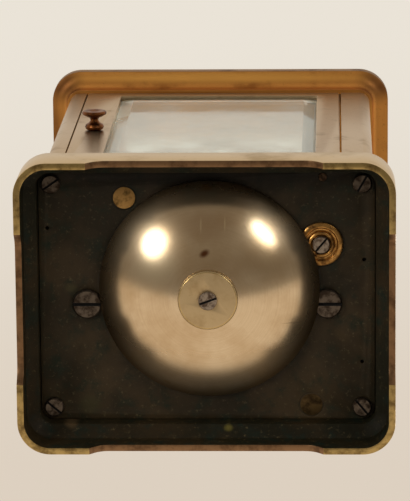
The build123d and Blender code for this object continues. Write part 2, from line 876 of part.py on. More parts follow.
def back_door_frame():
    """The door: one frame with a rebate for its glass and sockets for its pins."""
    left, right, low, high = door_limits()
    bottom, top = base_height + door_gap, pillar_top - door_gap
    frame = block(door_left, door_right, door_front, door_back, bottom, top)
    frame = chamfer(frame.edges().filter_by(Axis.Z), 0.35)
    frame -= block(left, right, door_front - 1, door_back + 1, low, high)
    step = door_rebate
    rebate_end = door_front + door_glass_back + pane_gap
    frame -= block(left - step, right + step, door_front - 1, rebate_end, low - step, high + step)
    socket = hinge_pin_reach + hinge_end_gap
    for start, end in ((bottom - 1, bottom + socket), (top - socket, top + 1)):
        frame -= rod_z(hinge_pin_radius + running_clearance, hinge_x, hinge_y, start, end)
    frame -= rod_y(knob_stem_radius, knob_x, knob_z, door_front - 1, door_back + 1)
    return frame


def back_door_glass():
    """The door's glass, let into the frame from inside and bevelled outside."""
    left, right, low, high = door_limits()
    gap = pane_gap
    width = right - left + 2 * (door_rebate - gap)
    height = high - low + 2 * (door_rebate - gap)
    pane = bevelled_pane(width, height, pane_edge, door_rebate, pane_bevel_width, door_bevel_height)
    return Pos(0, door_front + door_glass_back - pane_edge, (low + high) / 2) * Rot(-90, 0, 0) * pane


def door_knob():
    """The turned knob, riveted through the door's stile."""
    outside = door_back - door_front
    profile = [
        (0, -0.5), (1.7, -0.5), (1.7, 0), (knob_stem_radius, 0), (knob_stem_radius, outside),
        (1.5, outside), (2.2, outside + 0.4), (2.45, outside + 1.0), (2.2, outside + 1.6),
        (1.4, outside + 2.1), (1.0, outside + 2.7), (1.2, outside + 3.3), (2.3, outside + 3.8),
        (3.1, outside + 4.3), (3.2, outside + 4.7), (2.9, outside + 5.1), (2.0, outside + 5.2),
        (0.8, outside + 4.8), (0, outside + 4.7),
    ]
    return Pos(knob_x, door_front, knob_z) * Rot(-90, 0, 0) * turned(profile)


def door_pins():
    """Two steel pins, fixed in the base and the top, that the door turns on."""
    low_end = base_height + door_gap + hinge_pin_reach
    high_end = pillar_top - door_gap - hinge_pin_reach
    bottom = rod_z(hinge_pin_radius, hinge_x, hinge_y, plate_underside - 0.3, low_end)
    top = rod_z(hinge_pin_radius, hinge_x, hinge_y, high_end, pillar_top + top_pin_depth)
    return Compound([bottom, top])


def handle_bail():
    """The carrying handle: a bail with two flat eyes and a swelled grip."""
    arm_x = handle_inner - handle_eye_thickness / 2
    top = handle_pivot_z + handle_reach
    start = handle_pivot_z + 1
    corners = [(arm_x, 0, start), (arm_x, 0, top), (-arm_x, 0, top), (-arm_x, 0, start)]
    path = FilletPolyline(*corners, radius=handle_corner_radius)
    section = Plane(origin=corners[0], z_dir=(0, 0, 1)) * Circle(handle_radius)
    bail = sweep(section, path=path)
    grip_half = arm_x - handle_corner_radius - 2
    swell = handle_grip_radius
    profile = [
        (0, -grip_half), (handle_radius + 0.9, -grip_half), (handle_radius + 0.9, 1.2 - grip_half),
        (handle_radius, 2.0 - grip_half), (swell - 0.3, -grip_half / 2), (swell, 0),
        (swell - 0.3, grip_half / 2), (handle_radius, grip_half - 2.0),
        (handle_radius + 0.9, grip_half - 1.2), (handle_radius + 0.9, grip_half), (0, grip_half),
    ]
    bail += Pos(0, 0, top) * Rot(0, 90, 0) * turned(profile)
    for side in (-1, 1):
        near, far = sorted((side * handle_inner, side * (handle_inner - handle_eye_thickness)))
        bail += rod_x(handle_eye_radius, 0, handle_pivot_z, near, far)
    hole = handle_screw_radius + running_clearance
    low, high = handle_pivot_z - handle_eye_radius - 1, handle_pivot_z + handle_eye_radius + 2
    half_depth = handle_eye_radius + 1
    flat = handle_inner - handle_eye_thickness
    for side in (-1, 1):
        near, far = sorted((side * (handle_inner + 1), side * (flat - 2)))
        bail -= rod_x(hole, 0, handle_pivot_z, near, far)
        near, far = sorted((side * handle_inner, side * (handle_inner + handle_radius)))
        bail -= block(near, far, -half_depth, half_depth, low, high)
        near, far = sorted((side * flat, side * (flat - handle_radius)))
        bail -= block(near, far, -half_depth, half_depth, low, high)
    return bail


def handle_posts():
    """Two turned posts on the top that carry the handle."""
    radius, flange, finial = handle_post_radius, 1.26 * handle_post_radius, handle_finial_height
    profile = [
        (0, -handle_shank_length), (handle_shank_radius, -handle_shank_length),
        (handle_shank_radius, 0), (flange, 0), (flange, handle_flange_height),
        (radius, 1.8 * handle_flange_height), (radius, handle_pivot_rise + 0.54 * finial),
        (0.7 * radius, handle_pivot_rise + 0.78 * finial),
        (0.3 * radius, handle_pivot_rise + 0.95 * finial), (0, handle_pivot_rise + finial),
    ]
    posts = []
    for side in (-1, 1):
        post = Pos(side * handle_x, 0, case_height) * turned(profile)
        inner, outer = sorted((side * (handle_inner - 1), side * (handle_x + 1)))
        posts.append(post - rod_x(handle_screw_radius, 0, handle_pivot_z, inner, outer))
    return Compound(posts)


def handle_screws():
    """The two shouldered screws that the handle turns on."""
    start = handle_inner - handle_eye_thickness - 0.15
    length = handle_x + 0.9 - start
    screw = slotted_screw(handle_screw_radius + 0.9, 1.0, handle_screw_radius, length, 0.5)
    screws = []
    for side in (-1, 1):
        screws.append(placed(screw, (side * start, 0, handle_pivot_z), 90, (-side, 0, 0)))
    return Compound(screws)


def bell():
    """The bell: a shallow cap of a sphere, mouth up, with a thickened rim."""
    outer = Pos(bell_x, bell_y, bell_center_z) * Sphere(bell_curve_radius)
    inner = Pos(bell_x, bell_y, bell_center_z) * Sphere(bell_curve_radius - bell_thickness)
    cap = (outer - inner) & rod_z(bell_rim_radius, bell_x, bell_y, bell_apex - 1, bell_rim_z)
    return cap - rod_z(bell_hole_radius, bell_x, bell_y, bell_apex - 1, bell_apex + 5)


def bell_post():
    """The stud that holds the bell off the plate, riveted above it."""
    low = bell_center_z - math.sqrt((bell_curve_radius - bell_thickness) ** 2 - bell_post_radius**2)
    low += bell_seat_gap
    shank = bell_post_shank_radius
    profile = [
        (0, low), (bell_post_radius, low), (bell_post_radius, plate_underside - 1.5),
        (bell_post_radius + 1.2, plate_underside - 1.0), (bell_post_radius + 1.2, plate_underside),
        (shank, plate_underside), (shank, plate_top), (shank + 1.0, plate_top),
        (shank + 0.6, plate_top + 0.7), (0, plate_top + 0.7),
    ]
    post = Pos(bell_x, bell_y, 0) * turned(profile)
    return post - rod_z(bell_screw_radius, bell_x, bell_y, low - 1, low + bell_screw_reach + 1)


def bell_washer():
    """The brass washer under the bell, hollowed to sit on it."""
    low, edge = bell_washer_low, 0.35
    profile = [
        (0, low), (bell_washer_radius - edge, low), (bell_washer_radius, low + edge),
        (bell_washer_radius, bell_apex + 2), (0, bell_apex + 2),
    ]
    washer = Pos(bell_x, bell_y, 0) * turned(profile)
    washer -= Pos(bell_x, bell_y, bell_center_z) * Sphere(bell_curve_radius + bell_seat_gap)
    return washer - rod_z(bell_hole_radius, bell_x, bell_y, low - 1, bell_apex + 3)


def bell_screw():
    """The slotted steel screw in the middle of the bell."""
    length = bell_apex + bell_thickness - bell_washer_low + bell_screw_reach
    screw = slotted_screw(bell_screw_head_radius, 0.9, bell_screw_radius, length, 0.5)
    return placed(screw, (bell_x, bell_y, bell_washer_low), 20, (0, 0, -1))


def movement_screws():
    """Two large screws into the lower frame pillars and a small one into the back plate."""
    length = base_plate_thickness + movement_screw_reach
    large = slotted_screw(movement_screw_head_radius, 1.5, movement_screw_radius, length, 0.8)
    length = steady_cup_height + base_plate_thickness + steady_reach
    small = slotted_screw(steady_screw_head_radius, 0.9, steady_screw_radius, length, 0.6)
    screws = []
    for side in (-1, 1):
        origin = (side * movement_screw_x, movement_screw_y, plate_underside)
        screws.append(placed(large, origin, 0, (0, 0, -1)))
    origin = (steady_x, steady_y, plate_underside - steady_cup_height)
    screws.append(placed(small, origin, 50, (0, 0, -1)))
    return Compound(screws)


def steady_cup():
    """The dished brass washer under the small screw."""
    under, floor = plate_underside, plate_underside - steady_cup_height
    lip = steady_screw_head_radius + 0.15
    profile = [
        (0, under), (steady_cup_radius, under), (steady_cup_radius, under - 0.7),
        (steady_cup_radius - 0.7, floor), (steady_cup_radius - 1.2, floor),
        (steady_cup_radius - 1.5, under - 0.55), (lip + 1.1, under - 0.55), (lip + 0.9, floor - 0.2),
        (lip + 0.4, floor - 0.45), (lip + 0.05, floor - 0.2), (lip, floor), (0, floor),
    ]
    cup = Pos(steady_x, steady_y, 0) * turned(profile)
    return cup - rod_z(steady_screw_radius + screw_gap, steady_x, steady_y, floor - 1, under + 1)


def pivot_holes():
    """Each arbor's place, with its hole radius in the front and in the back plate."""
    clear = running_clearance
    return [
        (barrel_place, front_journal_radius + clear, barrel_arbor_radius + clear),
        (alarm_barrel_place, front_journal_radius + clear, barrel_arbor_radius + clear),
        (intermediate_place, intermediate_pivot_radius + clear, intermediate_pivot_radius + clear),
        (third_place, train_pivot_radius + clear, train_pivot_radius + clear),
        (contrate_place, train_pivot_radius + clear, train_pivot_radius + clear),
        (center_place, center_pipe_radius + clear, center_pipe_radius + clear),
        (star_place, star_pivot_radius + clear, star_pivot_radius + clear),
        (hammer_place, hammer_pivot_radius + clear, hammer_pivot_radius + clear),
        (alarm_place, alarm_arbor_radius + clear, alarm_arbor_radius + clear),
    ]


def frame_plate(front, back):
    """A brass plate of the movement with its screw holes."""
    plate = block(-frame_half_width, frame_half_width, front, back, plate_top, frame_top)
    upper = plate.edges().filter_by(Axis.Y).group_by(Axis.Z)[-1]
    plate = chamfer(upper, 5.0)
    for x, z in frame_pillar_places:
        plate -= rod_y(frame_screw_radius + frame_screw_gap, x, z, front - 1, back + 1)
    for x in (-platform_screw_x, platform_screw_x):
        low = frame_top - platform_screw_reach - 0.5
        plate -= rod_z(platform_screw_radius, x, (front + back) / 2, low, frame_top + 1)
    return plate


def front_plate():
    """The front plate, with the riveted post of the minute wheel."""
    plate = frame_plate(front_outer, front_inner)
    for (x, z), radius, _ in pivot_holes():
        plate -= rod_y(radius, x, z, front_outer - 1, front_inner + 1)
    for x, z in dial_foot_places():
        plate -= rod_y(dial_foot_radius, x, z, front_outer - 1, front_inner + 1)
    return plate + rod_y(minute_post_radius, *minute_place, minute_post_front, front_outer + 1)


def back_plate():
    """The back plate, with the studs of the clicks and their springs."""
    plate = frame_plate(back_inner, back_outer)
    for (x, z), _, radius in pivot_holes():
        plate -= rod_y(radius, x, z, back_inner - 1, back_outer + 1)
    plate -= rod_z(steady_screw_radius, steady_x, steady_y, plate_top - 1, plate_top + steady_reach + 0.2)
    for place, turn in click_layout():
        for (x, z), radius in ((click_pivot, click_stud_radius), (spring_foot, spring_stud_radius)):
            stud = rod_y(radius, x, z, back_outer - 0.1, back_outer + stud_length)
            plate += turned_about(stud, place, turn)
    return plate


def frame_pillars():
    """Four turned pillars that hold the plates apart."""
    length = back_inner - front_inner
    middle = movement_screw_y - front_inner
    wide, narrow = frame_pillar_radius, frame_pillar_waist
    profile = [
        (0, 0), (wide, 0), (wide, 2.2), (narrow, 3.4), (narrow, middle - 5.5), (wide, middle - 4.5),
        (wide, middle + 4.5), (narrow, middle + 5.5), (narrow, length - 3.4), (wide, length - 2.2),
        (wide, length), (0, length),
    ]
    shape = turned(profile)
    depth = frame_screw_reach + 1
    shape -= Cylinder(frame_screw_radius, depth, align=BASE)
    shape -= Pos(0, 0, length - depth) * Cylinder(frame_screw_radius, depth + 1, align=BASE)
    pillars = []
    for x, z in frame_pillar_places:
        pillar = Pos(x, front_inner, z) * Rot(-90, 0, 0) * shape
        if z < dial_z:
            high = plate_top + movement_screw_reach + 0.5
            pillar -= rod_z(movement_screw_radius, x, movement_screw_y, plate_top - 1, high)
        pillars.append(pillar)
    return Compound(pillars)


def frame_screws():
    """The screws of the movement: eight in the pillars, four in the platform, one in the cock."""
    screws = []
    length = frame_plate_thickness + frame_screw_reach
    large = slotted_screw(frame_screw_head_radius, 1.3, frame_screw_radius, length)
    for number, (x, z) in enumerate(frame_pillar_places):
        screws.append(placed(large, (x, front_outer, z), 25 + 40 * number, (0, -1, 0)))
        screws.append(placed(large, (x, back_outer, z), 70 + 30 * number, (0, 1, 0)))
    length = platform_thickness + platform_screw_reach
    small = slotted_screw(1.5, 0.8, platform_screw_radius, length, 0.35)
    for x in (-platform_screw_x, platform_screw_x):
        for y in ((front_outer + front_inner) / 2, (back_outer + back_inner) / 2):
            screws.append(placed(small, (x, y, platform_top), 30 + x, (0, 0, 1)))
    cock = slotted_screw(1.6, 0.8, cock_screw_radius, cock_top - platform_top + 1.4, 0.35)
    screws.append(placed(cock, (*cock_foot, cock_top), 15, (0, 0, 1)))
    return Compound(screws)


def dial_foot_places():
    """Where the dial's four feet stand, as (x, z)."""
    low, high = dial_low + 4, dial_high - 4
    return [(-dial_foot_x, low), (dial_foot_x, low), (-dial_foot_x, high), (dial_foot_x, high)]


def dial():
    """The enamel dial plate with its feet."""
    back = dial_front + dial_thickness
    plate = block(-dial_half_width, dial_half_width, dial_front, back, dial_low, dial_high)
    plate -= rod_y(dial_center_hole, *center_place, dial_front - 1, back + 1)
    plate -= rod_y(dial_alarm_hole, *alarm_place, dial_front - 1, back + 1)
    for x, z in dial_foot_places():
        plate += rod_y(dial_foot_radius, x, z, back, front_inner - 0.2)
    return plate


def dial_mask():
    """The gilt surround in front of the dial, open over both chapters."""
    front = dial_front - mask_thickness
    mask = block(-mask_half_width, mask_half_width, front, dial_front, mask_low, mask_high)
    mask -= rod_y(chapter_radius, *center_place, front - 1, dial_front + 1)
    mask -= rod_y(alarm_chapter_radius, *alarm_place, front - 1, dial_front + 1)
    return mask


def hand(length, width, boss, bore, place, front, angle):
    """A flat spade hand, pointing at an angle seen from the front."""
    tip, tail = length, boss + 1.6
    points = [
        (-0.45, 0), (-0.45, length * 0.55), (-width, length * 0.68), (-0.35, length * 0.82), (0, tip),
        (0.35, length * 0.82), (width, length * 0.68), (0.45, length * 0.55), (0.45, 0),
        (0.7, -tail), (-0.7, -tail),
    ]
    shape = flat_shape(points, hand_thickness) + Cylinder(boss, hand_thickness, align=BASE)
    shape -= Cylinder(bore, 3, align=(Align.CENTER, Align.CENTER, Align.CENTER))
    return seen_from_front(Rot(0, 0, angle) * shape, place[0], front + hand_thickness, place[1])


def hour_hand():
    """The blued hour hand on the hour wheel's pipe."""
    front = hour_hand_front - hand_thickness
    return hand(hour_hand_length, 1.5, 3.3, hour_pipe_radius, center_place, front, hour_hand_angle)


def minute_hand():
    """The blued minute hand on the front of the centre arbor."""
    front = minute_hand_front - hand_thickness
    return hand(minute_hand_length, 1.1, 2.0, hand_seat_radius, center_place, front, minute_hand_angle)


def alarm_hand():
    """The alarm hand on the small dial."""
    front = hour_hand_front - hand_thickness
    return hand(alarm_hand_length, 0.9, 1.7, alarm_arbor_radius, alarm_place, front, alarm_hand_angle)


def square(side, place, front, back):
    """A winding square along Y."""
    x, z = place
    return block(x - side / 2, x + side / 2, front, back, z - side / 2, z + side / 2)


def steel_arbor(place, radius, pivot_radius, parts=()):
    """An arbor between the plates, with a pivot at each end."""
    shoulder_front, shoulder_back = front_inner + end_shake, back_inner - end_shake
    bar = rod_y(radius, *place, shoulder_front, shoulder_back)
    bar += rod_y(pivot_radius, *place, front_outer + 0.1, shoulder_front)
    bar += rod_y(pivot_radius, *place, shoulder_back, back_outer - 0.1)
    return fused(bar, *parts)


def center_arbor():
    """The centre arbor: cannon pinion and hand seat in front, setting square behind."""
    bar = rod_y(center_arbor_radius, *center_place, hand_seat_back, back_outer + 0.2)
    tip = minute_hand_front - hand_thickness - 0.2
    bar += rod_y(hand_seat_radius, *center_place, tip, hand_seat_back)
    bar += square(setting_square, center_place, back_outer + 0.2, square_end)
    pipe_front = minute_hand_front + cannon_pipe_setback
    bar += rod_y(cannon_pipe_radius, *center_place, pipe_front, front_outer - plate_gap)
    outline = tooth_points(cannon_teeth, cannon_module, wheel_tooth, cannon_phase)
    teeth = flat_shape(outline, motion_thickness)
    return bar + seen_from_front(teeth, center_place[0], cannon_back, center_place[1])


def minute_wheel():
    """The minute wheel with its pinion, on the post of the front plate."""
    bore = minute_post_radius + running_clearance
    disc = wheel(minute_teeth, cannon_module, minute_core_radius, minute_phase, 4, 3.4, motion_thickness)
    disc = seen_from_front(disc, minute_place[0], cannon_back, minute_place[1])
    front = cannon_back - motion_thickness
    leaves = pinion(minute_pinion_teeth, hour_module, minute_pinion_length, minute_pinion_phase)
    leaves = seen_from_front(leaves, minute_place[0], front, minute_place[1])
    core = rod_y(minute_core_radius, *minute_place, front, cannon_back)
    core = core + leaves - rod_y(bore, *minute_place, dial_front, front_inner)
    return Compound([disc, core])


def hour_wheel():
    """The hour wheel on its pipe, which carries the hour hand."""
    disc = wheel(hour_teeth, hour_module, hour_pipe_radius, hour_phase, 5, 4.2)
    disc = seen_from_front(disc, center_place[0], hour_back, center_place[1])
    front, back = hour_hand_front - hand_thickness, hour_back + hour_pipe_end
    pipe = rod_y(hour_pipe_radius, *center_place, front, back)
    pipe -= rod_y(cannon_pipe_radius + running_clearance, *center_place, front - 1, back + 1)
    return Compound([disc, pipe])


def alarm_wheel():
    """The alarm wheel, as large as the hour wheel, loose on the alarm arbor."""
    disc = wheel(hour_teeth, hour_module, alarm_pipe_radius, alarm_phase, 5, 4.2)
    disc = seen_from_front(disc, alarm_place[0], hour_back, alarm_place[1])
    front, back = hour_back - wheel_thickness - 0.7, hour_back + hour_pipe_end
    pipe = rod_y(alarm_pipe_radius, *alarm_place, front, back)
    pipe -= rod_y(alarm_arbor_radius + running_clearance, *alarm_place, front - 1, back + 1)
    return Compound([disc, pipe])


def alarm_arbor():
    """The alarm's setting arbor: its hand in front, its square behind."""
    front = hour_hand_front - hand_thickness
    bar = rod_y(alarm_arbor_radius, *alarm_place, front, back_outer + 0.2)
    bar += square(alarm_square, alarm_place, back_outer + 0.2, square_end)
    collar_front = hour_back + hour_pipe_end + end_shake
    return bar + rod_y(alarm_collar_radius, *alarm_place, collar_front, front_outer - plate_gap)


def train_wheel(place, teeth, module, back, phase, pinion_solid, radius, pivot_radius, hub):
    """A brass wheel on its steel arbor, as two solids."""
    disc = wheel(teeth, module, radius, phase, 4, hub)
    disc = seen_from_front(disc, place[0], back, place[1])
    return Compound([disc, steel_arbor(place, radius, pivot_radius, [pinion_solid])])


def intermediate_wheel():
    """The intermediate wheel, turned by the barrel."""
    leaves = pinion_past(
        barrel_pinion_teeth, barrel_module, intermediate_pinion_phase, intermediate_place,
        barrel_front, barrel_front + barrel_floor, barrel_pinion_front_margin, barrel_pinion_back_margin,
    )
    return train_wheel(
        intermediate_place, intermediate_teeth, intermediate_module, intermediate_back,
        intermediate_phase, leaves, intermediate_arbor_radius, intermediate_pivot_radius, 2.8,
    )


def center_wheel():
    """The centre wheel on its pinion's pipe, which the centre arbor turns in by friction."""
    x, z = center_place
    leaves = pinion_past(
        center_pinion_teeth, intermediate_module, center_pinion_phase, center_place,
        intermediate_back - wheel_thickness, intermediate_back, pinion_margin, pinion_margin,
    )
    pipe = rod_y(center_pipe_radius, x, z, front_outer + 0.1, back_outer - 0.1) + leaves
    pipe -= rod_y(center_arbor_radius + running_clearance, x, z, front_outer, back_outer)
    disc = wheel(center_teeth, center_module, center_pipe_radius, center_phase, 4, 3.6)
    return Compound([seen_from_front(disc, x, center_back, z), pipe])


def third_wheel():
    """The third wheel."""
    leaves = pinion_past(
        third_pinion_teeth, center_module, third_pinion_phase, third_place,
        center_back - wheel_thickness, center_back, pinion_margin, pinion_margin,
    )
    return train_wheel(
        third_place, third_teeth, third_module, third_back,
        third_phase, leaves, train_arbor_radius, train_pivot_radius, 2.2,
    )


def contrate_wheel():
    """The contrate wheel: its teeth stand along its axis and turn the upright escape pinion."""
    x, z = contrate_place
    leaves = pinion_past(
        contrate_pinion_teeth, third_module, contrate_pinion_phase, contrate_place,
        third_back - wheel_thickness, third_back, pinion_margin, pinion_margin,
    )
    mean = contrate_teeth * contrate_module / 2
    inner, outer = mean - 0.6, mean + 0.5
    disc = Cylinder(outer, wheel_thickness, align=BASE)
    disc = crossed_out(disc, inner - 0.3, 2.2, 4, 1.0, wheel_thickness)
    disc -= Cylinder(train_arbor_radius, 4 * wheel_thickness)
    disc = seen_from_front(disc, x, contrate_back, z)
    rim = rod_y(outer, x, z, contrate_back, crown_root)
    rim -= rod_y(inner, x, z, contrate_back - 1, crown_root + 1)
    height = (wheel_tooth["addendum"] + wheel_tooth["dedendum"]) * contrate_module
    half_pitch = math.pi * contrate_module / 2
    root, tip = half_pitch * wheel_tooth["root"], half_pitch * wheel_tooth["tip"]
    section = [(-root, -0.1), (root, -0.1), (tip, height), (-tip, height)]
    tooth = Pos(0, 0, inner) * flat_shape(section, outer - inner)
    teeth = []
    for number in range(contrate_teeth):
        angle = contrate_phase + number * 360 / contrate_teeth
        teeth.append(Pos(x, crown_root, z) * Rot(0, 90 - angle, 0) * tooth)
    crown = rim.fuse(disc, *teeth)
    arbor = steel_arbor(contrate_place, train_arbor_radius, train_pivot_radius, [leaves])
    return Compound([crown, arbor])


def barrel_drum(place, teeth, module, phase, front, radius):
    """A barrel for a spring: a drum with its teeth in front and a cap let in behind."""
    x, z = place
    floor_back = front + barrel_floor
    floor = flat_shape(tooth_points(teeth, module, wheel_tooth, phase), barrel_floor)
    drum = seen_from_front(floor, x, floor_back, z)
    inner = radius - barrel_wall
    drum += rod_y(radius, x, z, floor_back, barrel_back)
    drum -= rod_y(inner, x, z, floor_back, barrel_back + 1)
    bore = rod_y(barrel_arbor_radius + running_clearance, x, z, front - 1, barrel_back + 1)
    cap = rod_y(inner, x, z, barrel_back - barrel_cap_thickness, barrel_back)
    return Compound([drum - bore, cap - bore])


def going_barrel():
    """The barrel that drives the clock."""
    return barrel_drum(
        barrel_place, barrel_teeth, barrel_module, barrel_phase, barrel_front, barrel_drum_radius
    )


def mainspring():
    """The going spring, coiled between the core and the drum."""
    x, z = barrel_place
    inner = barrel_core_radius + mainspring_inner_gap
    outer = barrel_drum_radius - barrel_wall - mainspring_gap
    pitch = (outer - inner - mainspring_strip) / mainspring_half_turns
    strip_shape = spiral(inner, pitch, mainspring_half_turns, mainspring_strip)
    front = barrel_front + barrel_floor + mainspring_gap
    back = barrel_back - barrel_cap_thickness - mainspring_gap
    return seen_from_front(extrude(strip_shape, back - front), x, back, z)


def spiral(inner, growth, half_turns, strip):
    """A flat spiral strip of half circles, each larger than the last by the growth."""
    sides = []
    for offset in (0, strip):
        arcs, start, side = [], inner + offset, 1
        for number in range(half_turns):
            radius = inner + offset + growth * (number + 0.5)
            end = start - side * 2 * radius
            arcs.append(ThreePointArc((start, 0), ((start + end) / 2, side * radius), (end, 0)))
            start, side = end, -side
        sides.append((arcs, inner + offset, start))
    (low, low_start, low_end), (high, high_start, high_end) = sides
    edges = low + high + [Line((low_start, 0), (high_start, 0)), Line((low_end, 0), (high_end, 0))]
    return make_face(Wire(edges))


def barrel_arbor(place, core_radius, front):
    """The arbor of a barrel: its core, its journals in the plates and its winding square."""
    x, z = place
    shoulder = back_outer + 1.7
    bar = rod_y(barrel_arbor_radius, x, z, front_inner + end_shake, shoulder)
    bar += rod_y(front_journal_radius, x, z, front_outer + 0.1, front_inner + end_shake)
    core_back = barrel_back - barrel_cap_thickness - 0.1
    bar += rod_y(core_radius, x, z, front + barrel_floor + 0.1, core_back)
    return bar + square(winding_square, place, shoulder, square_end)


def winding_arbor():
    """The going barrel's arbor."""
    return barrel_arbor(barrel_place, barrel_core_radius, barrel_front)


def ratchet_disc(place, turn):
    """A ratchet wheel whose radial faces look clockwise, with a tooth at its click."""
    points = []
    for number in range(ratchet_teeth):
        angle = math.radians(90 + number * 360 / ratchet_teeth)
        for reach in (ratchet_root_radius, ratchet_radius):
            points.append((reach * math.cos(angle), reach * math.sin(angle)))
    disc = flat_shape(points, ratchet_thickness) - Cylinder(barrel_arbor_radius, 4 * ratchet_thickness)
    return turned_about(seen_from_front(disc, 0, ratchet_front + ratchet_thickness, 0), place, turn)


def ratchet_wheel():
    """The ratchet wheel on the winding arbor."""
    return ratchet_disc(barrel_place, barrel_click_turn)


def click_layout():
    """The arbor that each click serves, and the angle at which it stands."""
    return [(barrel_place, barrel_click_turn), (alarm_barrel_place, alarm_click_turn)]


def turned_about(shape, place, angle):
    """Moves a shape made round Y to an arbor, turned as seen from the front."""
    return Pos(place[0], 0, place[1]) * Rot(0, -angle, 0) * shape


def click_for(place, turn):
    """A click whose nose stands in the ratchet's gap."""
    nose = ratchet_radius - click_depth
    x, y = click_pivot
    points = [
        (ratchet_gap, nose), (1.6, nose + 0.9), (x, y - click_eye_radius + 0.1),
        (x, y + click_eye_radius - 0.2), (ratchet_gap, nose + 1.0),
    ]
    shape = flat_shape(points, ratchet_thickness)
    shape += Pos(x, y) * Cylinder(click_eye_radius, ratchet_thickness, align=BASE)
    shape -= Pos(x, y) * Cylinder(click_stud_radius + running_clearance, 4 * ratchet_thickness)
    return turned_about(seen_from_front(shape, 0, ratchet_front + ratchet_thickness, 0), place, turn)


def click():
    """The going ratchet's click."""
    return click_for(*click_layout()[0])


def alarm_click():
    """The alarm ratchet's click."""
    return click_for(*click_layout()[1])


def click_springs():
    """Two blade springs that press the clicks."""
    springs = []
    foot_x, foot_y = spring_foot
    for place, turn in click_layout():
        blade = [
            (2.2, click_pivot[1] - 0.35), (2.3, click_pivot[1]), (foot_x - 1.0, foot_y + 0.9),
            (foot_x, foot_y + 0.5), (foot_x - 0.2, foot_y - 0.5), (foot_x - 1.0, foot_y + 0.45),
        ]
        shape = flat_shape(blade, spring_thickness)
        shape += Pos(foot_x, foot_y) * Cylinder(spring_stud_radius + 0.6, spring_thickness, align=BASE)
        shape -= Pos(foot_x, foot_y) * Cylinder(spring_stud_radius, 4 * spring_thickness)
        back = ratchet_front + spring_thickness + 0.1
        springs.append(turned_about(seen_from_front(shape, 0, back, 0), place, turn))
    return Compound(springs)


def alarm_barrel():
    """The smaller barrel that drives the alarm."""
    return barrel_drum(
        alarm_barrel_place, alarm_barrel_teeth, alarm_module, alarm_barrel_phase,
        alarm_barrel_front, alarm_barrel_drum_radius,
    )


def alarm_winding_arbor():
    """The alarm barrel's arbor with its ratchet wheel."""
    bar = barrel_arbor(alarm_barrel_place, alarm_barrel_core_radius, alarm_barrel_front)
    return Compound([bar, ratchet_disc(alarm_barrel_place, alarm_click_turn)])


def star_wheel():
    """The alarm's star wheel, which drives the hammer to and fro."""
    x, z = star_place
    points = []
    for number in range(star_teeth):
        middle = math.radians(star_phase + number * 360 / star_teeth)
        corners = [
            (star_root_radius, -0.14), (star_radius, -0.02), (star_radius, 0.02),
            (star_root_radius, 0.14),
        ]
        for reach, offset in corners:
            points.append((reach * math.cos(middle + offset), reach * math.sin(middle + offset)))
    disc = flat_shape(points, star_thickness) - Cylinder(star_arbor_radius, 4 * star_thickness)
    disc = seen_from_front(disc, x, star_back, z)
    leaves = pinion_past(
        star_pinion_teeth, alarm_module, star_pinion_phase, star_place,
        alarm_barrel_front, alarm_barrel_front + barrel_floor,
        barrel_pinion_front_margin, barrel_pinion_back_margin,
    )
    return Compound([disc, steel_arbor(star_place, star_arbor_radius, star_pivot_radius, [leaves])])


def hammer():
    """The hammer: arbor, anchor, arm and the ball that strikes inside the bell."""
    x, z = hammer_place
    bar = steel_arbor(hammer_place, hammer_arbor_radius, hammer_pivot_radius)
    reach = star_radius + anchor_clearance
    half_angle = math.radians(anchor_half_span)
    tip_x, tip_y = reach * math.sin(half_angle), anchor_distance - reach * math.cos(half_angle)
    anchor = []
    for side in (-1, 1):
        arm = [
            (0, -1.5), (side * (tip_x + 1.5), tip_y - 2.2), (side * (tip_x + 1.3), tip_y + 1.0),
            (side * tip_x, tip_y), (side * (tip_x - 0.3), tip_y - 1.2), (0, 1.6),
        ]
        anchor.append(flat_shape(arm, star_thickness))
    plate = fused(Cylinder(hammer_boss_radius, star_thickness, align=BASE), *anchor)
    bar += seen_from_front(plate, x, star_back, z)
    bar += rod_y(hammer_boss_radius, x, z, bell_y - 1.3, bell_y + 1.3)
    bar += rod_z(hammer_arm_radius, x, bell_y, hammer_head_z, z)
    return bar + Pos(x, bell_y, hammer_head_z) * Sphere(hammer_head_radius)


def platform():
    """The platform across the plates, with the cock below for the escape pinion's foot."""
    plate = block(platform_left, platform_right, front_outer, back_outer, platform_low, platform_top)
    plate = fillet(plate.edges().filter_by(Axis.Z), 2.5)
    low, high = platform_low - 1, platform_top + 1
    for x in (-platform_screw_x, platform_screw_x):
        for y in ((front_outer + front_inner) / 2, (back_outer + back_inner) / 2):
            plate -= rod_z(platform_screw_radius + frame_screw_gap, x, y, low, high)
    x, y = escape_place
    plate -= rod_z(escape_hole_radius, x, y, low, high)
    floor = escape_foot - 1.2
    plate += block(x - 2, x + 2, y - 1.0, y + 5.5, floor, escape_foot)
    plate += block(x - 2, x + 2, y + 3.2, y + 5.5, floor, platform_low)
    hole = escape_foot_radius + running_clearance
    plate -= rod_z(hole, x, y, escape_foot - pivot_depth, escape_foot + 1)
    for place, radius in ((pallet_place, fine_pivot_radius), (balance_place, balance_pivot_radius)):
        plate -= rod_z(radius + running_clearance, *place, platform_top - pivot_depth, high)
    plate -= rod_z(cock_screw_radius, *cock_foot, low, high)
    bridge_top = bridge_level + bridge_thickness
    post_x = x + escape_radius + 1.4
    plate += block(post_x - 1.2, post_x + 1.2, y - 1.6, y + 1.6, platform_top, bridge_top)
    bridge = block(pallet_place[0] - 1.1, post_x + 1.2, y - 1.1, y + 1.1, bridge_level, bridge_top)
    for place in (escape_place, pallet_place):
        bridge -= rod_z(fine_pivot_radius + running_clearance, *place, bridge_level - 1, bridge_top + 1)
    return plate + bridge


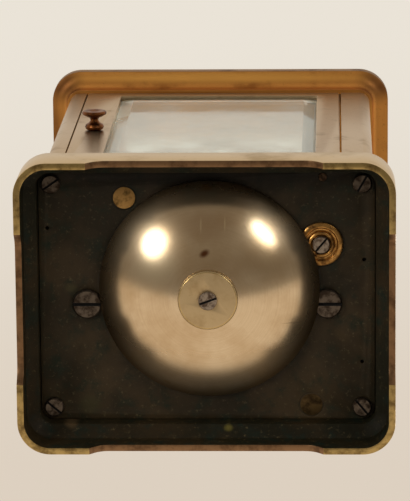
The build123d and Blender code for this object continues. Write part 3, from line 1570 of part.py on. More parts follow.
def escape_wheel():
    """The escape wheel above the platform, with its pinion in the contrate wheel below."""
    x, y = escape_place
    points = []
    for number in range(escape_teeth):
        middle = math.radians(escape_phase + number * 360 / escape_teeth)
        corners = [
            (escape_root_radius, -0.09), (escape_radius, 0.05), (escape_radius, 0.09),
            (escape_root_radius, 0.09),
        ]
        for reach, offset in corners:
            points.append((reach * math.cos(middle + offset), reach * math.sin(middle + offset)))
    disc = flat_shape(points, escape_thickness)
    disc = crossed_out(disc, escape_root_radius - 0.5, 0.9, 4, 0.4, escape_thickness)
    disc -= Cylinder(escape_arbor_radius, 4 * escape_thickness)
    disc = Pos(x, y, escape_level) * disc
    foot, head = escape_foot + fine_shake, bridge_level - fine_shake
    bar = rod_z(escape_arbor_radius, x, y, foot, head)
    bar += rod_z(escape_foot_radius, x, y, escape_foot - pivot_depth + fine_shake, foot)
    bar += rod_z(fine_pivot_radius, x, y, head, bridge_level + bridge_thickness - fine_shake)
    leaves = pinion(escape_pinion_teeth, contrate_module, escape_pinion_length, escape_pinion_phase)
    return Compound([disc, bar + Pos(x, y, escape_foot + 0.3) * leaves])


def lever():
    """The pallet lever: two pallets at the escape wheel and a fork at the balance."""
    x, y = pallet_place
    reach = escape_radius + pallet_clearance
    half = math.radians(30)
    gap = escape_place[0] - x
    shape = Cylinder(pallet_boss_radius, escape_thickness, align=BASE)
    for side in (-1, 1):
        tip = (gap - reach * math.cos(half), side * reach * math.sin(half))
        outer = (tip[0] + 0.55, tip[1] + side * 0.75)
        arm = [(0, -side * 0.4), tip, outer, (tip[0] - 0.3, tip[1] + side * 0.9), (-0.4, side * 0.5)]
        shape += flat_shape(arm, escape_thickness)
    fork = 1.25 - lever_length
    notch = impulse_pin_radius + 0.04
    tail = [
        (0, 0.35), (fork + 1.1, 0.3), (fork + 0.7, 0.5), (fork, 0.5), (fork, notch),
        (fork + 0.5, notch), (fork + 0.5, -notch), (fork, -notch), (fork, -0.5),
        (fork + 0.7, -0.5), (fork + 1.1, -0.3), (0, -0.35),
    ]
    shape += flat_shape(tail, escape_thickness)
    bar = rod_z(0.4, x, y, platform_top + fine_shake, bridge_level - fine_shake)
    low = platform_top - pivot_depth + fine_shake
    bar += rod_z(fine_pivot_radius, x, y, low, bridge_level + bridge_thickness - fine_shake)
    return Pos(x, y, escape_level) * shape + bar


def balance():
    """The balance: rim and arms on a staff, with its roller and impulse pin."""
    x, y = balance_place
    outer, inner = balance_radius, balance_radius - balance_rim_width
    ring = Cylinder(outer, balance_thickness, align=BASE) - Cylinder(inner, 3)
    ring += Box(2 * inner + 0.6, 1.1, balance_thickness * 0.7, align=BASE)
    for number in range(12):
        angle = math.radians(15 + 30 * number)
        place = (outer * math.cos(angle), outer * math.sin(angle), balance_thickness / 2)
        stud = Plane(origin=place, z_dir=(math.cos(angle), math.sin(angle), 0)) * Cylinder(0.35, 1.0)
        ring += stud
    staff = rod_z(balance_staff_radius, x, y, platform_top + fine_shake, cock_level - fine_shake)
    foot = platform_top - pivot_depth + fine_shake
    staff += rod_z(balance_pivot_radius, x, y, foot, cock_level + pivot_depth - fine_shake)
    staff += rod_z(collet_radius, x, y, hairspring_level - 0.1, hairspring_level + 0.6)
    roller_low = escape_level + escape_thickness + roller_gap
    staff += rod_z(roller_radius, x, y, roller_low, roller_low + 0.4)
    staff += rod_z(impulse_pin_radius, x - impulse_pin_reach, y, roller_low - 0.5, roller_low + 0.1)
    return Pos(x, y, balance_level) * ring + staff


def hairspring():
    """The spiral spring between the balance's collet and the stud on the cock."""
    coil = spiral(hairspring_inner, hairspring_pitch / 2, hairspring_half_turns, hairspring_strip)
    return Pos(*balance_place, hairspring_level) * extrude(coil, hairspring_height)


def balance_cock():
    """The cock over the balance, with the stud that holds the hairspring."""
    x, y = balance_place
    foot_x, foot_y = cock_foot
    half_x, half_y = cock_foot_half_width, cock_foot_half_depth
    foot = block(foot_x - half_x, foot_x + half_x, foot_y - half_y, foot_y + half_y,
                 platform_top, cock_top)
    arm = block(x - cock_arm_half_width, x + cock_arm_half_width, foot_y, y, cock_level, cock_top)
    cock = foot + arm + rod_z(cock_end_radius, x, y, cock_level, cock_top)
    hole = balance_pivot_radius + running_clearance
    cock -= rod_z(hole, x, y, cock_level - 1, cock_level + pivot_depth)
    cock -= rod_z(cock_screw_radius + frame_screw_gap, foot_x, foot_y, platform_top - 1, cock_top + 1)
    end = x - hairspring_end() - 0.02
    cock += block(end - 0.53, end, y - 0.5, y + 0.4, hairspring_level - 0.1, cock_level + 0.3)
    cock += block(end - 0.88, x - 2, y - 0.6, y + 0.6, cock_level, cock_level + 0.8)
    return cock + rod_z(cock_boss_radius, x, y, cock_top, cock_top + 0.5)


def hairspring_end():
    """How far the spring's outer end lies from the balance staff."""
    total = hairspring_inner + hairspring_strip
    start, side = total, 1
    for number in range(hairspring_half_turns):
        start -= side * 2 * (total + hairspring_pitch / 2 * (number + 0.5))
        side = -side
    return abs(start)


def regulator():
    """The index on the cock that alters the hairspring's length."""
    x, y = balance_place
    ring = Cylinder(2.3, 0.4, align=BASE) - Cylinder(cock_boss_radius + running_clearance, 3)
    tail = flat_shape([(-0.5, 1.5), (0.5, 1.5), (0.25, 7.5), (0, 8.2), (-0.25, 7.5)], 0.4)
    return Pos(x, y, cock_top + 0.05) * (ring + tail)


parts = {
    "base_moulding": base_moulding(),
    "base_plate": base_plate(),
    "base_screws": base_screws(),
    "base_plugs": base_plugs(),
    "front_pillars": Compound([corner_pillar(-1, -1), corner_pillar(1, -1)]),
    "back_pillar_latch_side": corner_pillar(1, 1),
    "back_pillar_hinge_side": corner_pillar(-1, 1),
    "top_moulding": top_moulding(),
    "top_glass": top_glass(),
    "front_glass": front_glass(),
    "side_glasses": Compound([side_glass(-1), side_glass(1)]),
    "back_door_frame": back_door_frame(),
    "back_door_glass": back_door_glass(),
    "door_knob": door_knob(),
    "door_pins": door_pins(),
    "handle_bail": handle_bail(),
    "handle_posts": handle_posts(),
    "handle_screws": handle_screws(),
    "bell": bell(),
    "bell_post": bell_post(),
    "bell_washer": bell_washer(),
    "bell_screw": bell_screw(),
    "movement_screws": movement_screws(),
    "steady_cup": steady_cup(),
    "dial": dial(),
    "dial_mask": dial_mask(),
    "hour_hand": hour_hand(),
    "minute_hand": minute_hand(),
    "alarm_hand": alarm_hand(),
    "front_plate": front_plate(),
    "back_plate": back_plate(),
    "frame_pillars": frame_pillars(),
    "frame_screws": frame_screws(),
    "center_arbor": center_arbor(),
    "minute_wheel": minute_wheel(),
    "hour_wheel": hour_wheel(),
    "alarm_wheel": alarm_wheel(),
    "alarm_arbor": alarm_arbor(),
    "going_barrel": going_barrel(),
    "mainspring": mainspring(),
    "winding_arbor": winding_arbor(),
    "ratchet_wheel": ratchet_wheel(),
    "click": click(),
    "click_springs": click_springs(),
    "intermediate_wheel": intermediate_wheel(),
    "center_wheel": center_wheel(),
    "third_wheel": third_wheel(),
    "contrate_wheel": contrate_wheel(),
    "alarm_barrel": alarm_barrel(),
    "alarm_winding_arbor": alarm_winding_arbor(),
    "alarm_click": alarm_click(),
    "star_wheel": star_wheel(),
    "hammer": hammer(),
    "platform": platform(),
    "escape_wheel": escape_wheel(),
    "lever": lever(),
    "balance": balance(),
    "hairspring": hairspring(),
    "balance_cock": balance_cock(),
    "regulator": regulator(),
}

os.makedirs("parts", exist_ok=True)
for name, shape in parts.items():
    export_step(shape, f"parts/{name}.step")
print(len(parts), "nodes written")
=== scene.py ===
# %% [markdown]
# # A brass carriage clock, seen from underneath
# The clock lies on its front and shows its hollow base: a dark plate, a bell on
# a stud, screws, and four feet cast in one with the plinth. The CAD model gives
# every solid its place. This file gives the solids their finish, in the same
# places, and then builds the stage that the photographer had round the clock.

# %% Load the frame and keep its size
import json
import math

import bmesh
import bpy
from mathutils import Matrix, Vector

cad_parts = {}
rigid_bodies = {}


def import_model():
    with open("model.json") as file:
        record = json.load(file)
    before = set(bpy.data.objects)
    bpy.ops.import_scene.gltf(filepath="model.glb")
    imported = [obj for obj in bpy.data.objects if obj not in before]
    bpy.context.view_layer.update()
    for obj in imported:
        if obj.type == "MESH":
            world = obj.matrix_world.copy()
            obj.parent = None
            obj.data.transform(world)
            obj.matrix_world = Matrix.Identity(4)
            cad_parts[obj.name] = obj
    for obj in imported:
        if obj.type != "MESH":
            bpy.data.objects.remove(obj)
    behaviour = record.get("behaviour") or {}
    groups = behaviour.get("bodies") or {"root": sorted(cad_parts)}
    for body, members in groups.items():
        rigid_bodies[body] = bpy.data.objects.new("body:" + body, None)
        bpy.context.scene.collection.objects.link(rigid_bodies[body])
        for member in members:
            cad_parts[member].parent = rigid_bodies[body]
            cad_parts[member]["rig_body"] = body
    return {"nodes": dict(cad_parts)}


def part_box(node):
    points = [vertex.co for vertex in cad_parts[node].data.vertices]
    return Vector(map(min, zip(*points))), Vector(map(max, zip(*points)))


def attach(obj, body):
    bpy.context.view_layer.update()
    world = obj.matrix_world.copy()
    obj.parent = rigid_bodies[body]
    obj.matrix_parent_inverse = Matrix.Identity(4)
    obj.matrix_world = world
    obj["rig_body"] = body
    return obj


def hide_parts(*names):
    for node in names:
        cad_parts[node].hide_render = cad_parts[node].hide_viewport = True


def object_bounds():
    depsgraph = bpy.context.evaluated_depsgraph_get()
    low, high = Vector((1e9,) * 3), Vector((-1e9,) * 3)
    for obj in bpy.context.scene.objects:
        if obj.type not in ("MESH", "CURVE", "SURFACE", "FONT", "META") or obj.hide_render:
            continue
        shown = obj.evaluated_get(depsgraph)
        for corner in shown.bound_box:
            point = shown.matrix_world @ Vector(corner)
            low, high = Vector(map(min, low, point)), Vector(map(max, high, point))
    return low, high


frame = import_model()
scene = bpy.context.scene
cad_box = [list(corner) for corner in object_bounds()]
MM = 0.001
print("CAD box in mm:", [[round(x / MM, 1) for x in corner] for corner in cad_box])

# %% [markdown]
# ## Helpers
# Colours are read off as sRGB hex values, but shaders count in linear light, so
# one function turns them. Another adds a node with its settings and its links,
# which keeps a tree readable as a list of steps. Most surfaces are uneven in
# patches, so a third makes a noise whose scale is a real size in millimetres, and
# cuts from it the share that lies between two values.

# %% Colours, nodes and patches
BLEND = {"data_type": "RGBA"}
EASED = {"interpolation_type": "SMOOTHSTEP"}


def color(hex_code):
    """A hex colour as linear red, green, blue and alpha."""
    channels = [int(hex_code[i : i + 2], 16) / 255 for i in (1, 3, 5)]
    linear = [c / 12.92 if c <= 0.04045 else ((c + 0.055) / 1.055) ** 2.4 for c in channels]
    return (*linear, 1.0)


def add_node(tree, kind, inputs=None, **settings):
    """Adds a node. An input is a value, an output, or a node for its first output in use."""
    node = tree.nodes.new(kind)
    for name, value in settings.items():
        setattr(node, name, value)
    for name, value in (inputs or {}).items():
        if isinstance(value, bpy.types.Node):
            value = next(output for output in value.outputs if output.enabled)
        if isinstance(value, bpy.types.NodeSocket):
            tree.links.new(value, node.inputs[name])
        else:
            node.inputs[name].default_value = value
    return node


def new_material(name):
    """A material with an empty tree."""
    material = bpy.data.materials.new(name)
    material.use_nodes = True
    material.node_tree.nodes.clear()
    return material, material.node_tree


def shaded(material, shader, look):
    """Ends a material's tree with a shader that looks like this."""
    surface = add_node(material.node_tree, shader, look)
    add_node(material.node_tree, "ShaderNodeOutputMaterial", {"Surface": surface})
    return material


def patches(tree, place, size, detail, rough, low, high, least=0.0, most=1.0, **settings):
    """A noise with patches of a size in millimetres, and the share of it from low to high."""
    coarse = {"Vector": place, "Scale": 1 / (size * MM), "Detail": detail, "Roughness": rough}
    noise = add_node(tree, "ShaderNodeTexNoise", coarse)
    cut = {"Value": noise, "From Min": low, "From Max": high, "To Min": least, "To Max": most}
    return noise, add_node(tree, "ShaderNodeMapRange", cut, **settings)


print("a mid grey in linear light:", [round(c, 3) for c in color("#808080")[:3]])

# %% [markdown]
# An old thing also has marks that are where they are, and nowhere else: a brown
# spot on the bell, a scratch, a place where the paint has worn thin. Some marks are
# painted light instead: a painted highlight and painted shade on the cove, painted
# shadows on the plate and a painted glow on the bell. Each is a soft ellipse in the
# plane of the base, mixed over the colour below it.

# %% Single marks


def marked(tree, place, tone, marks):
    """Lays marks over a colour: (x, y, half width, half depth, turn, colour, strength)."""
    for x, y, wide, deep, turn, tint, strength in marks:
        frame_of_mark = {
            "Vector": place,
            "Location": (x * MM, y * MM, 0),
            "Rotation": (0, 0, math.radians(turn)),
            "Scale": (wide * MM, deep * MM, 1),
        }
        centered = add_node(tree, "ShaderNodeMapping", frame_of_mark, vector_type="TEXTURE")
        flat = add_node(
            tree, "ShaderNodeVectorMath", {0: centered, 1: (1, 1, 0)}, operation="MULTIPLY"
        )
        away = add_node(tree, "ShaderNodeVectorMath", {0: flat}, operation="LENGTH")
        fade = {"Value": away, "From Min": 1.3, "From Max": 0.3, "To Max": strength}
        cover = add_node(tree, "ShaderNodeMapRange", fade, **EASED)
        tone = add_node(
            tree, "ShaderNodeMix", {"Factor": cover, "A": tone, "B": color(tint)}, **BLEND
        )
    return tone


print("marks are laid over a colour one after another")

# %% [markdown]
# ## Copies of the CAD solids
# A CAD mesh arrives as loose triangles with hard corners. No real edge is that
# sharp: cast brass is filed, glass is ground and sheet is deburred. So each solid
# is copied, its doubles are merged, its flat triangles are dissolved into whole
# faces, and a narrow bevel goes round the edges. The bevel can take a material of
# its own, which is how rubbed, brighter edges are made from real geometry.

# %% Finish a CAD solid
# Corners closer than this, in metres, are one corner. Faces flatter than this are one.
SEAM = 2e-6
FLAT = math.radians(0.5)


def clean_mesh(name, source, dissolve):
    """A fresh mesh of a CAD node with shared corners and no stored normals."""
    work = bmesh.new()
    work.from_mesh(source)
    bmesh.ops.remove_doubles(work, verts=work.verts, dist=SEAM)
    if dissolve:
        bmesh.ops.dissolve_limit(work, angle_limit=FLAT, verts=work.verts, edges=work.edges)
    work.verts.index_update()
    mesh = bpy.data.meshes.new(name)
    corners = [vertex.co[:] for vertex in work.verts]
    mesh.from_pydata(corners, [], [[v.index for v in face.verts] for face in work.faces])
    work.free()
    return mesh


def linked(name, mesh, materials=()):
    """An object for a mesh, at the origin."""
    piece = bpy.data.objects.new(name, mesh)
    scene.collection.objects.link(piece)
    for material in materials:
        mesh.materials.append(material)
    return piece


def applied(piece):
    """Turns a piece with modifiers into a plain mesh."""
    graph = bpy.context.evaluated_depsgraph_get()
    mesh = bpy.data.meshes.new_from_object(piece.evaluated_get(graph))
    piece.modifiers.clear()
    piece.data = mesh
    return piece


def smoothed(piece, degrees=32):
    """Smooth shading up to an angle, sharp beyond it."""
    piece.data.polygons.foreach_set("use_smooth", [True] * len(piece.data.polygons))
    piece.data.set_sharp_from_angle(angle=math.radians(degrees))
    return piece


def bevelled(piece, width, segments=2, degrees=35, edge_slot=-1):
    """Rounds the sharp edges of a piece by a width in millimetres."""
    bevel = piece.modifiers.new("eased_edges", "BEVEL")
    bevel.width = width * MM
    bevel.segments = segments
    bevel.limit_method = "ANGLE"
    bevel.angle_limit = math.radians(degrees)
    bevel.material = edge_slot
    bevel.use_clamp_overlap = True
    return applied(piece)


def mounted(piece, node):
    """The piece rides with the node's body and stands for the node."""
    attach(piece, frame["nodes"][node]["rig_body"])
    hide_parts(node)
    return piece


def finish(node, materials, width=0.0, pick=None, edge_slot=-1, degrees=32):
    """A finished piece for one CAD node. pick(center, normal) gives a face's slot."""
    mesh = clean_mesh(node + "_finished", frame["nodes"][node].data, width > 0)
    piece = linked(node + "_finished", mesh, materials)
    if pick:
        for face in mesh.polygons:
            face.material_index = pick(face.center / MM, face.normal)
    if width:
        bevelled(piece, width, edge_slot=edge_slot)
    smoothed(piece, degrees)
    return mounted(piece, node)


# %% [markdown]
# ## Camera
# The photograph was taken with a long lens, nearly square on to the underside
# and a little from the door's side, so the door shows as a narrow strip above
# the base. The direction, the roll, the distance and the focal length were worked
# out from the places of the screws, the feet and the corners of the top.

# %% Photo camera
camera_back = Vector((-0.03477, 0.21521, -0.97595)).normalized()
camera_right = Vector((-0.99939, -0.00900, 0.03362))
camera_up = camera_back.cross(camera_right).normalized()
camera_right = camera_up.cross(camera_back).normalized()
camera_target = Vector((0.633, 10.061, 21.265)) * MM
camera_distance = 900.0 * MM

camera_data = bpy.data.cameras.new("photo_camera")
camera_data.lens = 262.52
camera_data.sensor_width = 36.0
camera_data.clip_start = 0.05
camera_data.clip_end = 20.0
camera = bpy.data.objects.new("photo_camera", camera_data)
scene.collection.objects.link(camera)
turn = Matrix((camera_right, camera_up, camera_back)).transposed().to_4x4()
camera.matrix_world = Matrix.Translation(camera_target + camera_back * camera_distance) @ turn
scene.camera = camera
scene.view_settings.view_transform = "Standard"
print("camera at", [round(x, 3) for x in camera.matrix_world.translation])

# %% [markdown]
# ## The stage
# Brass has hardly a colour of its own: what it shows is its surroundings, tinted.
# The photographer's room is therefore part of the finish. It has a cream
# backdrop, a table under the clock's front, two soft boxes beside the camera,
# which draw the two bright patches on the bell, and a dimmer room behind the
# camera. The backdrop's colour is in the world for camera rays, and the room is
# there for reflections.

# %% World
scene.world = bpy.data.worlds.new("studio")
scene.world.use_nodes = True
tree = scene.world.node_tree
tree.nodes.clear()
direction = add_node(tree, "ShaderNodeTexCoord").outputs["Generated"]
axes = add_node(tree, "ShaderNodeSeparateXYZ", {"Vector": direction}).outputs
# The paper grows darker towards the table, behind the clock as the photo shows it.
rise = {"Value": axes["Y"], "From Min": -0.28, "From Max": -0.15}
lift = add_node(tree, "ShaderNodeMapRange", rise, **EASED)
paper = add_node(
    tree, "ShaderNodeMix", {"Factor": lift, "A": color("#DDD0C0"), "B": color("#EAE3D7")}, **BLEND
)
steep = add_node(tree, "ShaderNodeMath", {0: axes["Z"], 1: 0.9}, operation="GREATER_THAN")
backdrop = add_node(
    tree, "ShaderNodeMix", {"Factor": steep, "A": color("#E6DDD0"), "B": paper}, **BLEND
)
# Reflections see a room that is dim below and pale above.
step = {"Value": axes["Z"], "From Min": -0.25, "From Max": 0.12}
horizon = add_node(tree, "ShaderNodeMapRange", step, **EASED)
room = add_node(
    tree,
    "ShaderNodeMix",
    {"Factor": horizon, "A": color("#857C70"), "B": color("#E6DDD0")},
    **BLEND,
)
ray = add_node(tree, "ShaderNodeLightPath").outputs
seen = add_node(
    tree,
    "ShaderNodeMath",
    {0: ray["Is Camera Ray"], 1: ray["Is Transmission Ray"]},
    operation="MAXIMUM",
)
fill_light = (0.56, 0.545, 0.52, 1)
soft = add_node(
    tree, "ShaderNodeMix", {"Factor": ray["Is Glossy Ray"], "A": fill_light, "B": room}, **BLEND
)
shown = add_node(tree, "ShaderNodeMix", {"Factor": seen, "A": soft, "B": backdrop}, **BLEND)
light = add_node(tree, "ShaderNodeBackground", {"Color": shown})
add_node(tree, "ShaderNodeOutputWorld", {"Surface": light})
print("world nodes:", len(tree.nodes))

# %% [markdown]
# The floor is what the upright clock stands on in the other views. From below it
# would hide the whole base, so it is one-sided: it shows only to rays that come
# from above. The table that the clock lies on in the photograph is a second
# one-sided sheet at the clock's front, which only reflections see.

# %% Floor and table


def plane(name, corners, material):
    """A stage sheet with the given corners in metres."""
    mesh = bpy.data.meshes.new(name)
    mesh.from_pydata(corners, [], [(0, 1, 2, 3)])
    sheet = linked(name, mesh, [material])
    return sheet


def one_sided(name, shader, look, shown_to):
    """A stage material that only the named rays see, and only from its front."""
    material, tree = new_material(name)
    front = add_node(tree, shader, look)
    clear = add_node(tree, "ShaderNodeBsdfTransparent")
    back = add_node(tree, "ShaderNodeNewGeometry").outputs["Backfacing"]
    ray = add_node(tree, "ShaderNodeLightPath").outputs
    total = 0.0
    for kind in shown_to:
        total = add_node(tree, "ShaderNodeMath", {0: total, 1: ray[kind]}, operation="MAXIMUM")
    facing = add_node(tree, "ShaderNodeMath", {0: 1.0, 1: back}, operation="SUBTRACT")
    show = add_node(tree, "ShaderNodeMath", {0: total, 1: facing}, operation="MULTIPLY")
    return shaded(material, "ShaderNodeMixShader", {0: show, 1: clear, 2: front})


floor_material = one_sided(
    "pale_floor",
    "ShaderNodeBsdfDiffuse",
    {"Color": color("#E4DBCE")},
    ["Is Camera Ray", "Is Transmission Ray"],
)
table_material = one_sided(
    "table_for_reflections",
    "ShaderNodeEmission",
    {"Color": color("#E6D6C2"), "Strength": 1.0},
    ["Is Glossy Ray"],
)
plane("floor", [(-3, -3, 0), (3, -3, 0), (3, 3, 0), (-3, 3, 0)], floor_material)
# The table's near edge is the line across the bell where bright turns to dim.
front_y, table_edge, table_end, table_half = cad_box[0][1], -0.165, 0.02, 0.5
table_corners = [
    (table_half, front_y, table_edge),
    (-table_half, front_y, table_edge),
    (-table_half, front_y, table_end),
    (table_half, front_y, table_end),
]
table = plane("table", table_corners, table_material)
table.visible_camera = False
table.visible_shadow = False
print("table faces", tuple(table.data.polygons[0].normal))

# %% [markdown]
# A soft box is a cloth sheet with a lamp behind it. An area light is the same: its
# size decides how soft the shadows are, and its shape is what the bell mirrors. An
# oval one gives the round-ended patches of the photograph.

# %% Lamps
LAMP_AIM = Vector((0, 0, 0.02))


def soft_box(name, toward, distance, width, height, watts, tint):
    """An oval soft light that looks at the clock."""
    lamp = bpy.data.lights.new(name, "AREA")
    lamp.shape = "ELLIPSE"
    lamp.size = width
    lamp.size_y = height
    lamp.energy = watts
    lamp.color = color(tint)[:3]
    holder = bpy.data.objects.new(name, lamp)
    scene.collection.objects.link(holder)
    place = Vector(toward).normalized() * distance
    holder.rotation_euler = place.to_track_quat("Z", "Y").to_euler()
    holder.location = place + LAMP_AIM


# Name, direction from the clock, distance, width and height in metres, watts, colour.
lamps = [
    ("left_soft_box", (0.6685, 0.4156, -0.6159), 0.9, 0.28, 0.26, 1.6, "#FFFAF2"),
    ("right_soft_box", (-0.6300, 0.5237, -0.5750), 0.9, 0.33, 0.13, 0.9, "#FFFAF2"),
    ("top_soft_box", (-0.35, -0.55, 0.80), 1.3, 0.8, 0.8, 9.0, "#FFF8EE"),
]
for lamp in lamps:
    soft_box(*lamp)

# %% [markdown]
# ## Metals
# One recipe serves all the clock's metals, because they differ in numbers and not
# in kind: a clean colour, the colour of its tarnish, how large the patches of
# tarnish are, how rough the surface is, and how deep the hair scratches go. A
# metal's colour is its reflectance, so it stays at metallic 1 and default IOR.

# %% Metal recipe


def metal(name, clean, tarnish, amount, patch, rough, scratch=0.35, marks=()):
    """A worn metal. patch is in millimetres, rough is (clean, tarnished)."""
    material, tree = new_material(name)
    place = add_node(tree, "ShaderNodeTexCoord").outputs["Object"]
    first, last = 0.62 - amount / 2, 0.88 - amount / 2
    _, spread = patches(tree, place, patch, 6.0, 0.62, first, last, **EASED)
    _, dots = patches(tree, place, 0.9, 3.0, 0.7, 0.60, 0.74, most=0.55)
    dirt = add_node(tree, "ShaderNodeMath", {0: spread, 1: dots}, operation="MAXIMUM")
    tone = add_node(
        tree, "ShaderNodeMix", {"Factor": dirt, "A": color(clean), "B": color(tarnish)}, **BLEND
    )
    # Hair scratches: a fine noise drawn out 25 times along one direction.
    drawn_out = {"Vector": place, "Rotation": (0.5, 0.3, 0.9), "Scale": (1.0, 0.04, 1.0)}
    turned = add_node(tree, "ShaderNodeMapping", drawn_out)
    _, lines = patches(tree, turned, 0.35, 2.0, 0.5, 0.66, 0.74, most=scratch)
    finish_value = add_node(
        tree, "ShaderNodeMapRange", {"Value": dirt, "To Min": rough[0], "To Max": rough[1]}
    )
    dull = add_node(
        tree,
        "ShaderNodeMath",
        {0: lines, 1: 0.25, 2: finish_value},
        operation="MULTIPLY_ADD",
        use_clamp=True,
    )
    # Polished grit is a hundredth of a millimetre. It is drawn at half a millimetre.
    grit = add_node(
        tree, "ShaderNodeTexNoise", {"Vector": place, "Scale": 1 / (0.5 * MM), "Detail": 3.0}
    )
    relief = add_node(tree, "ShaderNodeMath", {0: grit, 1: lines}, operation="SUBTRACT")
    bump = add_node(
        tree, "ShaderNodeBump", {"Height": relief, "Strength": 0.35, "Distance": 0.01 * MM}
    )
    look = {
        "Base Color": marked(tree, place, tone, marks),
        "Metallic": 1.0,
        "Roughness": dull,
        "Normal": bump,
    }
    return shaded(material, "ShaderNodeBsdfPrincipled", look)


# Lacquered cast brass, dulled by handling: nearly beige where it mirrors the room.
plinth_brass = metal("aged_lacquered_brass", "#CDB48C", "#AD9368", 0.26, 14, (0.32, 0.42))
# The feet are rubbed on tables, so their rims are bare brass under brown dirt.
foot_brass = metal("rubbed_foot_brass", "#B89E66", "#76603A", 0.44, 3.5, (0.30, 0.48), scratch=0.6)
# The arches between the feet are never touched and stay brown.
arch_brass = metal("unrubbed_arch_brass", "#8C6C4E", "#644A34", 0.40, 4, (0.42, 0.56))
# The pillars and the door have a thin, even grey-brown tarnish.
pillar_brass = metal("tarnished_pillar_brass", "#BEA686", "#A08868", 0.20, 6, (0.32, 0.42))
# A rubbed edge is brighter than its face. The washer has one.
edge_brass = metal("rubbed_edge_brass", "#D2B478", "#A78A58", 0.20, 6, (0.26, 0.36))
# The cove kept its gilding, so it is orange and satin soft. Its marks paint the light
# and shade of a curved profile: a painted highlight along the swell, and painted shade
# in the bands on either side of it, in both corners and down one side.
cove_painted_highlight_and_shade = [
    (0, 31.6, 70, 1.2, 0, "#8E5A26", 0.6),
    (0, 34.5, 46, 1.5, 0, "#F2B45C", 0.95),
    (0, 36.6, 70, 0.6, 0, "#7A4A26", 0.75),
    (44, 33.5, 6, 6, 0, "#6E4628", 0.90),
    (-44, 33.5, 6, 6, 0, "#7A5030", 0.80),
    (46, 18, 3, 14, 0, "#7A4E2C", 0.70),
]
gilt_brass_with_painted_light = metal(
    "gilt_cove_brass_with_painted_light", "#DE9C50", "#9A6430", 0.26, 12, (0.44, 0.54), scratch=0.1, marks=cove_painted_highlight_and_shade
)
# The upright edge of the top is darker and browner than the rest, and quite matt.
fascia_brass = metal("brown_fascia_brass", "#92704C", "#6A4E36", 0.34, 8, (0.50, 0.60))
# The handle is polished by the hand that carries the clock.
handle_brass = metal("polished_handle_brass", "#D3AE6A", "#A5864C", 0.26, 10, (0.20, 0.32))
# The washer is turned, and its face has gone a flat olive.
washer_brass = metal("turned_washer_brass", "#CDB68E", "#B89E74", 0.26, 6, (0.50, 0.56), scratch=0.2)
# The dished cup holds brown dirt in its grooves, so its gold is broken and dull.
cup_brass = metal("dirty_cup_brass", "#BC8E50", "#5A3C20", 0.42, 2.4, (0.26, 0.48))
# Gilded plates and wheels: clean yellow, matt enough to show no clear reflection.
movement_brass = metal("gilt_movement_brass", "#DDBB70", "#B8944C", 0.22, 8, (0.26, 0.36))
# Screws are blued steel gone brown-black.
blued_steel = metal("blued_steel_gone_brown", "#645A50", "#382E26", 0.45, 1.6, (0.34, 0.52))
# Two screws are turned more often than the rest, and are worn to bright steel.
worn_steel = metal("worn_screw_steel", "#A89A8C", "#5C4C40", 0.45, 1.2, (0.30, 0.46))
# The hands kept their heat blue, because the glass keeps fingers off them.
hand_steel = metal("blued_hand_steel", "#2C3C74", "#1C2444", 0.25, 6, (0.22, 0.30))
# Arbors, ratchets and clicks are hardened steel with a plain polish.
steel = metal("polished_steel", "#C2C2C0", "#8E8C88", 0.20, 5, (0.18, 0.30))
# The door's pins are iron wire with a skin of rust.
rusty_iron = metal("rusty_iron_pin", "#5A4838", "#2C2018", 0.50, 1, (0.50, 0.70))
# The platform is silvered brass, which looks grey-white and soft.
platform_silver = metal("silvered_platform", "#D8D4C8", "#B7B0A0", 0.20, 6, (0.24, 0.34))
# The balance is gilt and finely polished, to cut its drag in the air.
balance_gold = metal("gilt_balance", "#E2BE72", "#C09A50", 0.20, 5, (0.18, 0.26))
# The dial mask is grained before gilding, so it is quite matt.
mask_gilt = metal("matt_gilt_mask", "#D9B36A", "#B78F48", 0.25, 7, (0.44, 0.52))
# The knob is patinated a red brown and worn at its edges.
knob_bronze = metal("brown_patinated_knob", "#7C4C2A", "#42281A", 0.40, 2, (0.34, 0.46))
print("metals:", [m.name for m in bpy.data.materials if m.node_tree and "table" not in m.name][:6])

# %% [markdown]
# ## Dark paint inside the base
# The plate and the walls of the hollow were blackened, and a century has left
# dust, rust and a green bloom on them. That is no metal any more, but a thin
# rough film: a dark base colour, patches of brown and green, pale specks of dust
# and pinpricks, and a faint broken gloss.

# %% Japanned film


def dark_film(name, base, brown, green, rough, marks):
    """Old black japan: dark, mottled, specked with dust, faintly glossy."""
    material, tree = new_material(name)
    place = add_node(tree, "ShaderNodeTexCoord").outputs["Object"]
    _, browned = patches(tree, place, 16, 7.0, 0.5, 0.44, 0.60)
    middle, greened = patches(tree, place, 5, 8.0, 0.7, 0.50, 0.66)
    fine, dusty = patches(tree, place, 1.1, 4.0, 0.8, 0.58, 0.76, most=0.65)
    tone = color(base)
    for share, over in ((browned, brown), (greened, green), (dusty, "#6E6040")):
        tone = add_node(
            tree, "ShaderNodeMix", {"Factor": share, "A": tone, "B": color(over)}, **BLEND
        )
    worn = {"Value": middle, "From Min": 0.3, "From Max": 0.7, "To Min": rough, "To Max": 0.75}
    gloss = add_node(tree, "ShaderNodeMapRange", worn)
    bump = add_node(
        tree, "ShaderNodeBump", {"Height": fine, "Strength": 0.6, "Distance": 0.05 * MM}
    )
    look = {
        "Base Color": marked(tree, place, tone, marks),
        "Roughness": gloss,
        "IOR": 1.5,
        "Specular IOR Level": 0.16,
        "Normal": bump,
    }
    return shaded(material, "ShaderNodeBsdfPrincipled", look)


